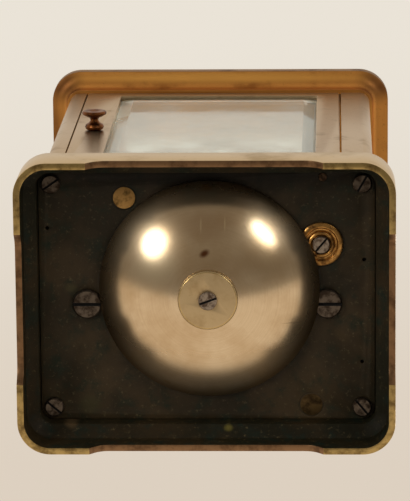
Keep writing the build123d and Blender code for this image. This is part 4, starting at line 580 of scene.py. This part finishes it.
# The plate is flat and has caught the most dust and rust, so it is the browner one.
plate_stains_and_painted_shadows = [
    # The first two marks are painted shadow: a dark band along the top edge under the wall, and a
    # dark disc round the bell. The rest are stains.
    (0, 31, 60, 5, 0, "#100D08", 0.75),
    (-0.6, 2.0, 31, 31, 0, "#0C0905", 0.9),
    (29.3, -27.5, 3.0, 2.6, 0, "#3C3820", 0.6),
    (21.5, -9.5, 2.2, 5.0, 20, "#4A3A20", 0.5),
    (33.5, 2.0, 1.6, 1.2, 0, "#4C4226", 0.5),
    (-33.0, -10.0, 2.5, 1.4, 40, "#4A3A22", 0.4),
]
plate_japan_with_painted_shadows = dark_film("black_japanned_plate_with_painted_shadows", "#2A2213", "#3C2F1C", "#24281C", 0.42, plate_stains_and_painted_shadows)
# The walls slope, keep less dust and have turned greenish.
wall_marks = [
    (-5.1, -32.3, 1.2, 0.8, 0, "#6E6428", 0.55),
    (34.0, -31.0, 2.2, 1.4, 30, "#5E4A30", 0.6),
]
wall_japan = dark_film("black_japanned_wall", "#1C1A0E", "#2C2212", "#18221A", 0.44, wall_marks)
print("films made")

# %% [markdown]
# ## The base
# One brass casting: the plinth band, the stepped moulding over it, four feet and
# the arches between them, hollow inside. The faces are told apart by where they
# are and which way they look: rims of the feet, arches, inner walls, outside.

# %% Base moulding
low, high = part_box("base_moulding")
# In millimetres: how near a face of the outside lies to the box, and how high the
# rims of the feet, the arches and the hollow reach.
OUTER, RIM_TOP, ARCH_TOP, HOLLOW_TOP = 0.6, 0.3, 3.4, 17.7
half_x, half_y = high[0] / MM - OUTER, high[1] / MM - OUTER


def base_part(center, normal):
    """0 outside, 1 foot rim, 2 arch, 3 inner wall."""
    if normal.z < -0.9 and center.z < RIM_TOP:
        return 1
    if normal.z < -0.25 and center.z < ARCH_TOP:
        return 2
    inside = abs(center.x) < half_x and abs(center.y) < half_y and center.z < HOLLOW_TOP
    outward = normal.x * center.x + normal.y * center.y
    return 3 if inside and (outward < 0 or normal.z < -0.2) else 0


base_metals = [plinth_brass, foot_brass, arch_brass, wall_japan]
base = finish("base_moulding", base_metals, width=0.22, pick=base_part)
print("base faces:", len(base.data.polygons))

# %% [markdown]
# The plate is sheet iron with rivet ends in it. They are brass rivets filed flush,
# with paint left at their edges, so the bevel round them takes the plate's paint.
# One has lost the paint on its face and the other is only stained.

# %% Plate, plugs and their neighbours
finish("base_plate", [plate_japan_with_painted_shadows], width=0.15)
plug_brass = metal("bare_brass_plug", "#A88450", "#66502E", 0.40, 2.2, (0.46, 0.60))
stained_plug = metal("stained_brass_plug", "#5E4C30", "#3A2E1E", 0.42, 2.4, (0.55, 0.68))
plugs = [plug_brass, stained_plug, plate_japan_with_painted_shadows]


def plug_side(center, _):
    """0 for the bare plug, 1 for the stained one."""
    return int(center.x < 0)


finish("base_plugs", plugs, width=0.3, pick=plug_side, edge_slot=2)
finish("steady_cup", [cup_brass], width=0.08)
finish("bell_washer", [washer_brass, edge_brass], width=0.1, edge_slot=1)
finish("bell_post", [washer_brass])
print("plate done")

# %% [markdown]
# ## The bell
# A bell like this is spun: a disc of bell metal is pressed over a turning form,
# and both faces stay parts of spheres. That is a rule, so Geometry Nodes can make
# it. A flat grid is bent: its columns run round the axis, and its rows run out
# along the outer sphere, over the rim and back along the inner one.

# %% Bell from a rule
FLOAT, COUNT, STUFF = "NodeSocketFloat", "NodeSocketInt", "NodeSocketMaterial"
SHAPE = "NodeSocketGeometry"


def new_group(name, inputs):
    """A Geometry Nodes tree with named inputs (name, type, default), and their outputs."""
    group = bpy.data.node_groups.new(name, "GeometryNodeTree")
    group.interface.new_socket("Geometry", in_out="INPUT", socket_type=SHAPE)
    for label, kind, default in inputs:
        socket = group.interface.new_socket(label, in_out="INPUT", socket_type=kind)
        if default is not None:
            socket.default_value = default
    group.interface.new_socket("Geometry", in_out="OUTPUT", socket_type=SHAPE)
    entry = add_node(group, "NodeGroupInput").outputs
    return group, {item.name: item for item in entry if item.name}


def close_group(tree, shape, stuff, only=None):
    """Makes the instances real, gives them their material and sends them out."""
    real = add_node(tree, "GeometryNodeRealizeInstances", {0: shape})
    wanted = {"Geometry": real, "Material": stuff}
    if only:
        wanted["Selection"] = only
    dressed = add_node(tree, "GeometryNodeSetMaterial", wanted)
    add_node(tree, "NodeGroupOutput", {0: dressed})


def grown(name, group, values, mesh=None):
    """The plain mesh that a tree makes with these input values."""
    piece = linked(name, mesh or bpy.data.meshes.new(name))
    modifier = piece.modifiers.new(group.name, "NODES")
    modifier.node_group = group
    for item in group.interface.items_tree:
        if item.in_out == "INPUT" and item.name in values:
            modifier[item.identifier] = values[item.name]
    return applied(piece)


bell_inputs = [
    ("Curve radius", FLOAT, 38 * MM),
    ("Rim radius", FLOAT, 27 * MM),
    ("Hole radius", FLOAT, 1.7 * MM),
    ("Thickness", FLOAT, 1.3 * MM),
    ("Rows", COUNT, 40),
    ("Columns", COUNT, 160),
    ("Material", STUFF, None),
]
bell_tree, known = new_group("bell_shell", bell_inputs)
sheet = add_node(bell_tree, "GeometryNodeMeshGrid", {"Size X": 1.0, "Size Y": 1.0})
position = add_node(bell_tree, "GeometryNodeInputPosition")
spot = add_node(bell_tree, "ShaderNodeSeparateXYZ", {0: position}).outputs
known.update({"across": spot["X"], "along": spot["Y"]})
print("bell tree starts with", list(known))

# %% [markdown]
# The bending is a list of small sums. Each row of the table below is one Math
# node: the name of its result, what it does, and its terms, which are numbers or
# the names of earlier results.

# %% The bell's sums
bell_sums = [
    ("row count", "MULTIPLY_ADD", "Rows", 2.0, 3.0),
    ("column count", "ADD", "Columns", 1.0),
    ("angle", "MULTIPLY", "across", 2 * math.pi),
    ("last row", "MULTIPLY_ADD", "Rows", 2.0, 2.0),
    ("height share", "ADD", "along", 0.5),
    ("exact row", "MULTIPLY", "height share", "last row"),
    ("row", "ROUND", "exact row"),
    ("rim row", "ADD", "Rows", 0.5),
    ("past rim", "GREATER_THAN", "row", "rim row"),
    ("end row", "SUBTRACT", "last row", 0.5),
    ("before end", "LESS_THAN", "row", "end row"),
    ("inner", "MULTIPLY", "past rim", "before end"),
    ("rows left", "SUBTRACT", "last row", "row"),
    ("rows back", "SUBTRACT", "rows left", 1.0),
    ("going back", "DIVIDE", "rows back", "Rows"),
    ("rows out", "DIVIDE", "row", "Rows"),
    ("outer", "SUBTRACT", 1.0, "past rim"),
    ("going out", "MULTIPLY", "rows out", "outer"),
    ("share", "MULTIPLY_ADD", "inner", "going back", "going out"),
    ("wall", "MULTIPLY", "inner", "Thickness"),
    ("radius", "SUBTRACT", "Curve radius", "wall"),
    ("start sine", "DIVIDE", "Hole radius", "radius"),
    ("start", "ARCSINE", "start sine"),
    ("end sine", "DIVIDE", "Rim radius", "radius"),
    ("end", "ARCSINE", "end sine"),
    ("span", "SUBTRACT", "end", "start"),
    ("lean", "MULTIPLY_ADD", "span", "share", "start"),
    ("lean sine", "SINE", "lean"),
    ("out", "MULTIPLY", "radius", "lean sine"),
    ("lean cosine", "COSINE", "lean"),
    ("fall", "MULTIPLY", "radius", "lean cosine"),
    ("z", "MULTIPLY", "fall", -1.0),
    ("angle cosine", "COSINE", "angle"),
    ("x", "MULTIPLY", "out", "angle cosine"),
    ("angle sine", "SINE", "angle"),
    ("y", "MULTIPLY", "out", "angle sine"),
]
for result, operation, *terms in bell_sums:
    sockets = {i: known[x] if isinstance(x, str) else x for i, x in enumerate(terms)}
    known[result] = add_node(bell_tree, "ShaderNodeMath", sockets, operation=operation)
for count, side in (("column count", "Vertices X"), ("row count", "Vertices Y")):
    bell_tree.links.new(known[count].outputs[0], sheet.inputs[side])
bent = add_node(
    bell_tree, "ShaderNodeCombineXYZ", {"X": known["x"], "Y": known["y"], "Z": known["z"]}
)
shell = add_node(bell_tree, "GeometryNodeSetPosition", {"Geometry": sheet, "Position": bent})
closed = add_node(
    bell_tree, "GeometryNodeMergeByDistance", {"Geometry": shell, "Distance": 0.0005 * MM}
)
close_group(bell_tree, closed, known["Material"])
print("bell tree:", len(bell_tree.nodes), "nodes")

# %% [markdown]
# Spun metal keeps the fine rings of the tool, so the finish is drawn as rings
# round the bell's axis: a distance from the axis goes through a noise, and that
# gives both a faint relief and a faint change of colour. The bell metal itself
# is paler and greener than the brass of the case.

# %% Bell metal


def bell_finish(center, marks):
    """Spun bell metal: pale gold with fine rings, brown spots, soft tarnish and painted shade on the
    rim.
    """
    material, tree = new_material("spun_bell_metal_and_painted_light")
    place = add_node(tree, "ShaderNodeTexCoord").outputs["Object"]
    about = add_node(
        tree, "ShaderNodeVectorMath", {0: place, 1: center}, operation="SUBTRACT"
    ).outputs[0]
    flat = add_node(tree, "ShaderNodeVectorMath", {0: about, 1: (1, 1, 0)}, operation="MULTIPLY")
    away = add_node(tree, "ShaderNodeVectorMath", {0: flat}, operation="LENGTH")
    # Tool rings are a few hundredths of a millimetre apart. They are drawn at 0.4 mm.
    lathe = {"W": away, "Scale": 1 / (0.4 * MM), "Detail": 4.0, "Roughness": 0.7}
    rings = add_node(tree, "ShaderNodeTexNoise", lathe, noise_dimensions="1D")
    _, cloud = patches(tree, place, 11, 6.0, 0.6, 0.42, 0.76)
    tone = add_node(
        tree,
        "ShaderNodeMix",
        {"Factor": cloud, "A": color("#DFCAAA"), "B": color("#C6AA84")},
        **BLEND,
    )
    faint = {"Value": rings, "From Min": 0.40, "From Max": 0.75, "To Max": 0.22}
    streaks = add_node(tree, "ShaderNodeMapRange", faint)
    ringed = add_node(
        tree, "ShaderNodeMix", {"Factor": streaks, "A": tone, "B": color("#B89C6C")}, **BLEND
    )
    # The outermost ring is darkened to brown: painted shade on the steep rim.
    edge = {"Value": away, "From Min": 23 * MM, "From Max": 27.5 * MM, "To Max": 0.75}
    rim_painted_shade = add_node(tree, "ShaderNodeMapRange", edge, **EASED)
    browned = add_node(
        tree, "ShaderNodeMix", {"Factor": rim_painted_shade, "A": ringed, "B": color("#6A5230")}, **BLEND
    )
    shine = add_node(tree, "ShaderNodeMapRange", {"Value": cloud, "To Min": 0.20, "To Max": 0.25})
    # Dust and fingers reach the rim first, so it is duller than the crown. The front
    # side lies lowest when the clock lies down, and gathered more of it.
    height = add_node(tree, "ShaderNodeSeparateXYZ", {0: about}).outputs["Y"]
    for measure, near, far, most in ((away, 21, 27, 0.07), (height, -8, -24, 0.15)):
        reach = {"Value": measure, "From Min": near * MM, "From Max": far * MM, "To Max": most}
        dust = add_node(tree, "ShaderNodeMapRange", reach, **EASED)
        shine = add_node(tree, "ShaderNodeMath", {0: shine, 1: dust})
    bump = add_node(
        tree, "ShaderNodeBump", {"Height": rings, "Strength": 0.25, "Distance": 0.006 * MM}
    )
    look = {
        "Base Color": marked(tree, about, browned, marks),
        "Metallic": 1.0,
        "Roughness": shine,
        "Normal": bump,
    }
    return shaded(material, "ShaderNodeBsdfPrincipled", look)


low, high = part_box("bell")
curve_radius = 38.0 * MM
bell_x, bell_y = (low[0] + high[0]) / 2, (low[1] + high[1]) / 2
# Brown patches, a pale patch beside the left soft box's highlight that is a painted
# glow, one dark spot, scratches and two lines beside the crown.
bell_patches_and_painted_glow = [
    (-13.5, 9.0, 7.0, 4.5, 20, "#A88C64", 0.45),
    (0.5, 17.5, 7.5, 4.0, 0, "#B49470", 0.45),
    # A painted glow beside the left soft box's highlight.
    (12.5, 7.0, 6.0, 4.0, -20, "#E6D6B4", 0.5),
    (-4.0, 8.0, 9.0, 3.5, 0, "#B89A74", 0.35),
    (0.8, 11.0, 1.4, 0.9, -30, "#6A3C1E", 0.95),
    (0.5, 25.6, 1.3, 0.9, 0, "#B08450", 0.8),
    (-20.2, -7.4, 2.4, 0.10, 3, "#8A6C44", 0.7),
    (-21.6, -9.6, 1.1, 0.08, -20, "#94764C", 0.6),
    (1.7, 17.4, 0.25, 1.9, 0, "#E4CFA8", 0.6),
    (-4.1, 17.6, 0.22, 1.9, 0, "#E4CFA8", 0.6),
    (10.5, -23.0, 1.2, 0.5, 30, "#A8865A", 0.4),
]
bell_metal_and_painted_light = bell_finish((bell_x, bell_y, 0.0), bell_patches_and_painted_glow)
bell_values = {"Rim radius": (high[0] - low[0]) / 2, "Material": bell_metal_and_painted_light}
bell = grown("bell_finished", bell_tree, bell_values)
bell.data.transform(Matrix.Translation((bell_x, bell_y, low[2] + curve_radius)))
bevelled(bell, 0.25, segments=3, degrees=50)
smoothed(bell, 40)
mounted(bell, "bell")
print("bell box:", [round(x / MM, 2) for x in low], "faces:", len(bell.data.polygons))

# %% [markdown]
# ## Screws
# Every screw on the clock is the same kind: a cheese head with a turned edge and
# a sawn slot. One Geometry Nodes tree makes the screw from its sizes and sets one
# on each point of a small mesh. Each point carries the way its screw looks and
# how far its slot is turned, because screws stop wherever they happen to be tight.
# A screw could be three cylinders pushed together, but then hidden faces stay
# inside it. Here the head grows out of one cylinder: its upper cap is drawn up
# and in for the turned edge, and its lower cap is drawn in and down for the shank.

# %% Screw tree
screw_inputs = [
    ("Head radius", FLOAT, 2.35 * MM),
    ("Head height", FLOAT, 1.3 * MM),
    ("Edge", FLOAT, 0.25 * MM),
    ("Shank radius", FLOAT, 1.2 * MM),
    ("Shank length", FLOAT, 5 * MM),
    ("Slot width", FLOAT, 0.6 * MM),
    ("Slot depth", FLOAT, 0.6 * MM),
    ("Sides", COUNT, 48),
    ("Material", STUFF, None),
    ("Slot dirt", STUFF, None),
]
screw_tree, known = new_group("slotted_screws", screw_inputs)
screw_sums = [
    ("wall", "SUBTRACT", "Head height", "Edge"),
    ("half wall", "MULTIPLY", "wall", 0.5),
    ("top radius", "SUBTRACT", "Head radius", "Edge"),
    ("top share", "DIVIDE", "top radius", "Head radius"),
    ("shank share", "DIVIDE", "Shank radius", "Head radius"),
    ("saw length", "MULTIPLY", "Head radius", 3.0),
    ("saw height", "MULTIPLY", "Slot depth", 2.0),
]
for result, operation, *terms in screw_sums:
    sockets = {i: known[x] if isinstance(x, str) else x for i, x in enumerate(terms)}
    known[result] = add_node(screw_tree, "ShaderNodeMath", sockets, operation=operation)
drum_size = {"Vertices": known["Sides"], "Radius": known["Head radius"], "Depth": known["wall"]}
drum = add_node(screw_tree, "GeometryNodeMeshCylinder", drum_size)
lift = add_node(screw_tree, "ShaderNodeCombineXYZ", {"Z": known["half wall"]})
shape = add_node(screw_tree, "GeometryNodeTransform", {"Geometry": drum, "Translation": lift})
for cap, share, rise in (("Top", "top share", known["Edge"]), ("Bottom", "shank share", 0.0)):
    pull = {"Mesh": shape, "Selection": drum.outputs[cap], "Offset Scale": rise}
    pull["Individual"] = False
    drawn = add_node(screw_tree, "GeometryNodeExtrudeMesh", pull, mode="FACES")
    narrow = {"Geometry": drawn, "Selection": drawn.outputs["Top"], "Scale": known[share]}
    shape = add_node(screw_tree, "GeometryNodeScaleElements", narrow, domain="FACE")
pull.update({"Mesh": shape, "Selection": drawn.outputs["Top"]})
pull["Offset Scale"] = known["Shank length"]
shank = add_node(screw_tree, "GeometryNodeExtrudeMesh", pull, mode="FACES")
print("screw without its slot:", len(screw_tree.nodes), "nodes")

# %% [markdown]
# The slot is what a saw leaves: a box is taken away from the head. The saw's faces
# carry a material of dirt, and the cut hands it on to the slot, so the dirt lies
# where the saw went and nowhere else. The last node gives that material again to
# the faces that have it, because the tree ends by setting a material.

# %% Slot and places
saw_sides = {"X": known["saw length"], "Y": known["Slot width"], "Z": known["saw height"]}
saw_size = add_node(screw_tree, "ShaderNodeCombineXYZ", saw_sides)
saw = add_node(screw_tree, "GeometryNodeMeshCube", {"Size": saw_size})
painted = []
for part, stuff in ((saw, "Slot dirt"), (shank, "Material")):
    coat = {"Geometry": part, "Material": known[stuff]}
    painted.append(add_node(screw_tree, "GeometryNodeSetMaterial", coat))
saw_lift = add_node(screw_tree, "ShaderNodeCombineXYZ", {"Z": known["Head height"]})
raised = {"Geometry": painted[0], "Translation": saw_lift}
saw_set = add_node(screw_tree, "GeometryNodeTransform", raised)
less = {"Mesh 1": painted[1], "Mesh 2": saw_set}
cut = add_node(screw_tree, "GeometryNodeMeshBoolean", less, operation="DIFFERENCE")
aim = add_node(
    screw_tree, "GeometryNodeInputNamedAttribute", {"Name": "aim"}, data_type="FLOAT_VECTOR"
)
spread = {"Points": known["Geometry"], "Instance": cut, "Rotation": aim}
sown = add_node(screw_tree, "GeometryNodeInstanceOnPoints", spread)
dirt = {"Material": known["Slot dirt"]}
in_slot = add_node(screw_tree, "GeometryNodeMaterialSelection", dirt)
close_group(screw_tree, sown, known["Slot dirt"], in_slot)
print("screw tree:", len(screw_tree.nodes), "nodes")

# %% [markdown]
# A century of dirt sits in the slots, so they are black whatever the screw is. A
# set of screws is a list of places and one row of sizes. Both follow the CAD screws,
# so that each screw fills the space of its solid.

# %% Set the screws
slot_dirt, _ = new_material("dirt_in_the_slots")
shaded(slot_dirt, "ShaderNodeBsdfPrincipled", {"Base Color": color("#100D0A"), "Roughness": 0.9})
# The turned edge as a share of the head's height, the slot's width of its radius.
EDGE_SHARE, SLOT_SHARE = 0.22, 0.2
SCREW_BEVEL = 0.06


def screws(name, places, sizes, node, material=blued_steel):
    """Screws at (x, y, z, facing, turn) in millimetres and degrees, on one body."""
    mesh = bpy.data.meshes.new(name)
    mesh.from_pydata([Vector(p[:3]) * MM for p in places], [], [])
    aim = mesh.attributes.new("aim", "FLOAT_VECTOR", "POINT")
    for number, (_, _, _, facing, turn) in enumerate(places):
        stand = Vector(facing).to_track_quat("Z", "Y").to_matrix()
        spin = Matrix.Rotation(math.radians(turn), 3, "Z")
        aim.data[number].vector = (stand @ spin).to_euler()
    head, height, shank_radius, length, depth = (size * MM for size in sizes)
    values = {
        "Head radius": head,
        "Head height": height,
        "Edge": height * EDGE_SHARE,
        "Shank radius": shank_radius,
        "Shank length": length,
        "Slot width": head * SLOT_SHARE,
        "Slot depth": depth,
        "Material": material,
        "Slot dirt": slot_dirt,
    }
    piece = grown(name, screw_tree, values, mesh)
    bevelled(piece, SCREW_BEVEL, segments=1, degrees=50)
    smoothed(piece, 40)
    return mounted(piece, node)


DOWN, UP, FRONT, BACK = (0, 0, -1), (0, 0, 1), (0, -1, 0), (0, 1, 0)
# A set's five sizes: head radius, head height, shank radius, shank length, slot depth.
plate_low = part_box("base_plate")[0][2] / MM
corners = [
    (38, 28.1, plate_low, DOWN, 35),
    (-38, 28.1, plate_low, DOWN, 60),
    (38, -28.1, plate_low, DOWN, 140),
    (-38, -28.1, plate_low, DOWN, 130),
]
made = screws("corner_screws", corners, (2.35, 1.3, 1.2, 13.4, 0.6), "base_screws")
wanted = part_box("base_screws")
points = [v.co for v in made.data.vertices]
print("corner screws z", min(p.z for p in points) / MM, wanted[0][2] / MM)
pair = [(29.5, -1.9, plate_low, DOWN, 0), (-29.5, -1.9, plate_low, DOWN, 0)]
screws("movement_screw_pair", pair, (3.6, 1.5, 1.5, 7.5, 0.8), "movement_screws")
steady = [(-28, 13, plate_low - 1.0, DOWN, 50)]
screws("steady_screw", steady, (2.15, 0.9, 0.7, 5.0, 0.6), "movement_screws", material=worn_steel)
middle = [(bell_x / MM, bell_y / MM, 1.5, DOWN, 20)]
screws("bell_center_screw", middle, (2.25, 0.9, 1.55, 8.0, 0.5), "bell_screw", material=worn_steel)
sides = [(-33.65, 0, 139.2, (1, 0, 0), 90), (33.65, 0, 139.2, (-1, 0, 0), 90)]
screws("handle_screw_pair", sides, (2.0, 1.0, 1.1, 5.75, 0.5), "handle_screws")

# %% [markdown]
# The movement's plates are held by screws from both sides, and the platform on top
# by four smaller ones and one in the cock. Their slots stand at all angles.

# %% Screws of the movement
plates = []
for number, (x, z) in enumerate([(-29.5, 21.2), (29.5, 21.2), (-27, 98), (27, 98)]):
    plates.append((x, -20, z, FRONT, 25 + 40 * number))
    plates.append((x, 14, z, BACK, 70 + 30 * number))
screws("plate_screws", plates, (2.6, 1.3, 1.25, 7.5, 0.6), "frame_screws")
small = [(x, y, 106, UP, 30 + x) for x in (-12, 12) for y in (-19, 13)]
screws("platform_screws", small, (1.5, 0.8, 0.6, 6.0, 0.35), "frame_screws")
cock = [(-5.2497, -14, 114.8, UP, 15)]
screws("cock_screw", cock, (1.6, 0.8, 0.7, 10.2, 0.35), "frame_screws")

# %% [markdown]
# ## Pillars, door and top
# The four pillars and the door frame are drawn brass, filed flat and rounded at
# their outer corner. The top is a casting with a cove below its overhang, and the
# handle is a bent rod with a swelled grip. A narrow bevel goes round their edges
# and catches the light, as a filed edge does. The top's faces are told apart, as
# the base's are: cove and underside, upright edge, and the rest.

# %% Case metalwork
for node in ("front_pillars", "back_pillar_latch_side", "back_pillar_hinge_side"):
    finish(node, [pillar_brass], width=0.08)
finish("back_door_frame", [pillar_brass], width=0.08)
finish("door_knob", [knob_bronze], width=0.05)
finish("door_pins", [rusty_iron], width=0.05)
# The upright edge's height, and how far out it is: the well for the glass is nearer.
FASCIA, REACH = 4.3, 30
low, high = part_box("top_moulding")
fascia_low = high[2] / MM - FASCIA


def top_part(center, normal):
    """1 for the cove and the underside, 2 for the upright edge, 0 for the rest."""
    if center.z > fascia_low and abs(normal.z) < 0.8 and abs(center.x) + abs(center.y) > REACH:
        return 2
    return 1 if normal.z < -0.15 or center.z < fascia_low else 0


top_metals = [plinth_brass, gilt_brass_with_painted_light, fascia_brass]
finish("top_moulding", top_metals, width=0.2, pick=top_part)
finish("handle_bail", [handle_brass], width=0.12)
finish("handle_posts", [handle_brass], width=0.08)
print("case metalwork done")

# %% [markdown]
# ## Glass
# Each pane is ground to a broad bevel on its outer face. Real glass is clear, so
# what shows is its surface: it mirrors the room more and more as the eye comes
# down to it. Light has to reach the movement through the panes, so for shadow and
# diffuse rays the glass lets everything through.

# %% Bevelled glass


def plate_glass(name, haze_low, haze_high, dust):
    """Old polished plate glass with a faint grey-green body and some dust."""
    material, tree = new_material(name)
    place = add_node(tree, "ShaderNodeTexCoord").outputs["Object"]
    _, haze = patches(tree, place, 9, 5.0, 0.6, 0.4, 0.75, haze_low, haze_high)
    look = {
        "Base Color": color("#F4F8F4"),
        "Roughness": haze,
        "IOR": 1.5,
        "Transmission Weight": 1.0,
        "Specular Tint": color("#DFF0EE"),
        "Sheen Weight": dust,
        "Sheen Roughness": 0.35,
        "Sheen Tint": color("#D4DACF"),
    }
    glass = add_node(tree, "ShaderNodeBsdfPrincipled", look)
    clear = add_node(tree, "ShaderNodeBsdfTransparent", {"Color": (0.93, 0.95, 0.93, 1)})
    ray = add_node(tree, "ShaderNodeLightPath").outputs
    either = {0: ray["Is Shadow Ray"], 1: ray["Is Diffuse Ray"]}
    passing = add_node(tree, "ShaderNodeMath", either, operation="MAXIMUM")
    return shaded(material, "ShaderNodeMixShader", {0: passing, 1: glass, 2: clear})


clean_glass = plate_glass("bevelled_plate_glass", 0.01, 0.06, 0.15)
# Dust on the door's pane hardly shows from square on and veils it at a low angle.
dusty_glass = plate_glass("dusty_bevelled_plate_glass", 0.05, 0.16, 1.0)
for node in ("front_glass", "side_glasses", "top_glass"):
    finish(node, [clean_glass], width=0.05, degrees=3)
finish("back_door_glass", [dusty_glass], width=0.05, degrees=3)
print("panes done")

# %% [markdown]
# ## Dial
# A white enamel plate behind a matt gilt mask, with a small alarm dial below the
# main one. The enamel is glass fused on copper: white, hard and glossy, with a
# clear coat. The numerals are plain Roman and Arabic ones, a hair's breadth thick
# so that they are solids of their own.

# %% Enamel


def glazed(name, tint, cloudy, rough):
    """Fired enamel: a faintly uneven colour under a clear gloss."""
    material, tree = new_material(name)
    place = add_node(tree, "ShaderNodeTexCoord").outputs["Object"]
    coarse = {"Vector": place, "Scale": 1 / (12 * MM), "Detail": 4.0}
    cloud = add_node(tree, "ShaderNodeTexNoise", coarse)
    tone = {"Factor": cloud, "A": color(tint), "B": color(cloudy)}
    wave = {"Height": cloud, "Strength": 0.2, "Distance": 0.05 * MM}
    look = {
        "Base Color": add_node(tree, "ShaderNodeMix", tone, **BLEND),
        "Roughness": rough,
        "IOR": 1.52,
        "Coat Weight": 0.6,
        "Coat Roughness": 0.05,
        "Normal": add_node(tree, "ShaderNodeBump", wave),
    }
    return shaded(material, "ShaderNodeBsdfPrincipled", look)


# The ground is opaque white enamel, a little cloudy. The figures are black enamel.
white_enamel = glazed("white_dial_enamel", "#F1EEE4", "#D9D4C6", 0.22)
black_enamel = glazed("black_dial_enamel", "#171514", "#1F1C1A", 0.30)
finish("dial", [white_enamel], width=0.1)
finish("dial_mask", [mask_gilt], width=0.08)
for node in ("hour_hand", "minute_hand", "alarm_hand"):
    finish(node, [hand_steel], width=0.05)
print("dial and hands done")

# %% [markdown]
# Real numerals are painted in black enamel and fired. A text in Blender is a curve,
# so each numeral is written, made a thin mesh and set on its hour. All of them are
# joined in one mesh, because a dial carries them as one.

# %% Numerals
# In millimetres: the heights of the two dials' centres, and half a letter's thickness.
MAIN_DIAL, ALARM_DIAL = 80, 48
LETTER = 0.03
dial_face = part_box("dial")[0][1]
numerals = bmesh.new()


def on_dial(center_z):
    """Stands a flat shape up on the dial's face, round a centre at this height."""
    lay = Matrix.Translation((0, dial_face - LETTER * MM, center_z * MM))
    return lay @ Matrix.Rotation(math.pi / 2, 4, "X")


def numeral(text, size, radius, hour, center_z, narrow):
    """One numeral set on its hour round a centre, with its top outwards."""
    curve = bpy.data.curves.new("numeral", "FONT")
    curve.body = text
    curve.size = size * MM
    curve.align_x = "CENTER"
    curve.align_y = "CENTER"
    curve.extrude = LETTER * MM
    letter = bpy.data.objects.new("numeral", curve)
    scene.collection.objects.link(letter)
    graph = bpy.context.evaluated_depsgraph_get()
    mesh = bpy.data.meshes.new_from_object(letter.evaluated_get(graph))
    step = Matrix.Translation((0, radius * MM, 0)) @ Matrix.Diagonal((narrow, 1, 1, 1))
    around = Matrix.Rotation(math.radians(-30 * hour), 4, "Z") @ step
    mesh.transform(on_dial(center_z) @ around)
    numerals.from_mesh(mesh)
    bpy.data.objects.remove(letter)
    bpy.data.meshes.remove(mesh)


romans = ["XII", "I", "II", "III", "IIII", "V", "VI", "VII", "VIII", "IX", "X", "XI"]
arabics = [str(hour or 12) for hour in range(12)]
# Texts, their size and their ring's radius in mm, the ring's centre, the narrowing.
rings = [(romans, 5.6, 15.6, MAIN_DIAL, 0.72), (arabics, 2.4, 7.2, ALARM_DIAL, 0.85)]
for texts, size, radius, center_z, narrow in rings:
    for hour, text in enumerate(texts):
        numeral(text, size, radius, hour, center_z, narrow)
numeral_mesh = bpy.data.meshes.new("dial_numerals")
numerals.to_mesh(numeral_mesh)
numerals.free()
dial_numerals = linked("dial_numerals", numeral_mesh, [black_enamel])
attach(dial_numerals, frame["nodes"]["dial"]["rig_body"])
print("numeral faces:", len(numeral_mesh.polygons))

# %% [markdown]
# The minute track repeats sixty times round a circle, so it is another job for
# Geometry Nodes: points on a circle, one small bar on each, turned to look at
# the centre.

# %% Minute marks
mark_inputs = [
    ("Count", COUNT, 60),
    ("Ring radius", FLOAT, 19.6 * MM),
    ("Mark length", FLOAT, 1.0 * MM),
    ("Mark width", FLOAT, 0.25 * MM),
    ("Thickness", FLOAT, 0.06 * MM),
    ("Material", STUFF, None),
]
mark_tree, known = new_group("dial_marks", mark_inputs)
circle = {"Vertices": known["Count"], "Radius": known["Ring radius"]}
ring = add_node(mark_tree, "GeometryNodeMeshCircle", circle)
position = add_node(mark_tree, "GeometryNodeInputPosition")
spot = add_node(mark_tree, "ShaderNodeSeparateXYZ", {0: position}).outputs
angle = {0: spot["Y"], 1: spot["X"]}
bearing = add_node(mark_tree, "ShaderNodeMath", angle, operation="ARCTAN2")
toward = add_node(mark_tree, "ShaderNodeCombineXYZ", {"Z": bearing})
sides = {"X": known["Mark length"], "Y": known["Mark width"], "Z": known["Thickness"]}
size = add_node(mark_tree, "ShaderNodeCombineXYZ", sides)
bar = add_node(mark_tree, "GeometryNodeMeshCube", {"Size": size})
spread = {"Points": ring, "Instance": bar, "Rotation": toward}
marks = add_node(mark_tree, "GeometryNodeInstanceOnPoints", spread)
close_group(mark_tree, marks, known["Material"])

# Name, how many, ring radius, length and width in mm, the ring's centre.
tracks = [
    ("minute_marks", 60, 19.4, 1.0, 0.22, MAIN_DIAL),
    ("five_minute_marks", 12, 19.4, 1.3, 0.55, MAIN_DIAL),
    ("alarm_marks", 48, 9.1, 0.5, 0.15, ALARM_DIAL),
]
for name, count, radius, length, width, center_z in tracks:
    values = {
        "Count": count,
        "Ring radius": radius * MM,
        "Mark length": length * MM,
        "Mark width": width * MM,
        "Material": black_enamel,
    }
    track = grown(name, mark_tree, values)
    track.data.transform(on_dial(center_z))
    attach(track, frame["nodes"]["dial"]["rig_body"])
print("marks done")

# %% [markdown]
# ## Movement
# Through the glass one sees the gilt plates, the wheels and, at the top, the
# silvered platform with its gilt balance. These parts are small and sharp, so
# they keep their CAD edges and are only merged, smoothed and given their metals.

# %% Movement pieces
brass_nodes = [
    "front_plate", "back_plate", "frame_pillars", "minute_wheel", "hour_wheel", "alarm_wheel",
    "going_barrel", "intermediate_wheel", "center_wheel", "third_wheel", "contrate_wheel",
    "alarm_barrel",
]
steel_nodes = [
    "center_arbor", "alarm_arbor", "winding_arbor", "ratchet_wheel", "click", "alarm_click",
    "alarm_winding_arbor", "star_wheel", "hammer", "escape_wheel", "lever", "hairspring",
    "mainspring", "click_springs", "regulator",
]
for node in brass_nodes:
    finish(node, [movement_brass])
for node in steel_nodes:
    finish(node, [steel])
left = [n for n in frame["nodes"] if not frame["nodes"][n].hide_render]
print("still plain:", left)

# %% [markdown]
# The platform carries the escapement. It and its cock are silvered, the balance is
# gilt. Each piece's name says which it is.

# %% Platform and the rest
for node in left:
    if "platform" in node or "bridge" in node or "cock" in node:
        finish(node, [platform_silver])
    elif "balance" in node:
        finish(node, [balance_gold])
    else:
        finish(node, [steel])
print("all nodes finished:", all(frame["nodes"][n].hide_render for n in frame["nodes"]))
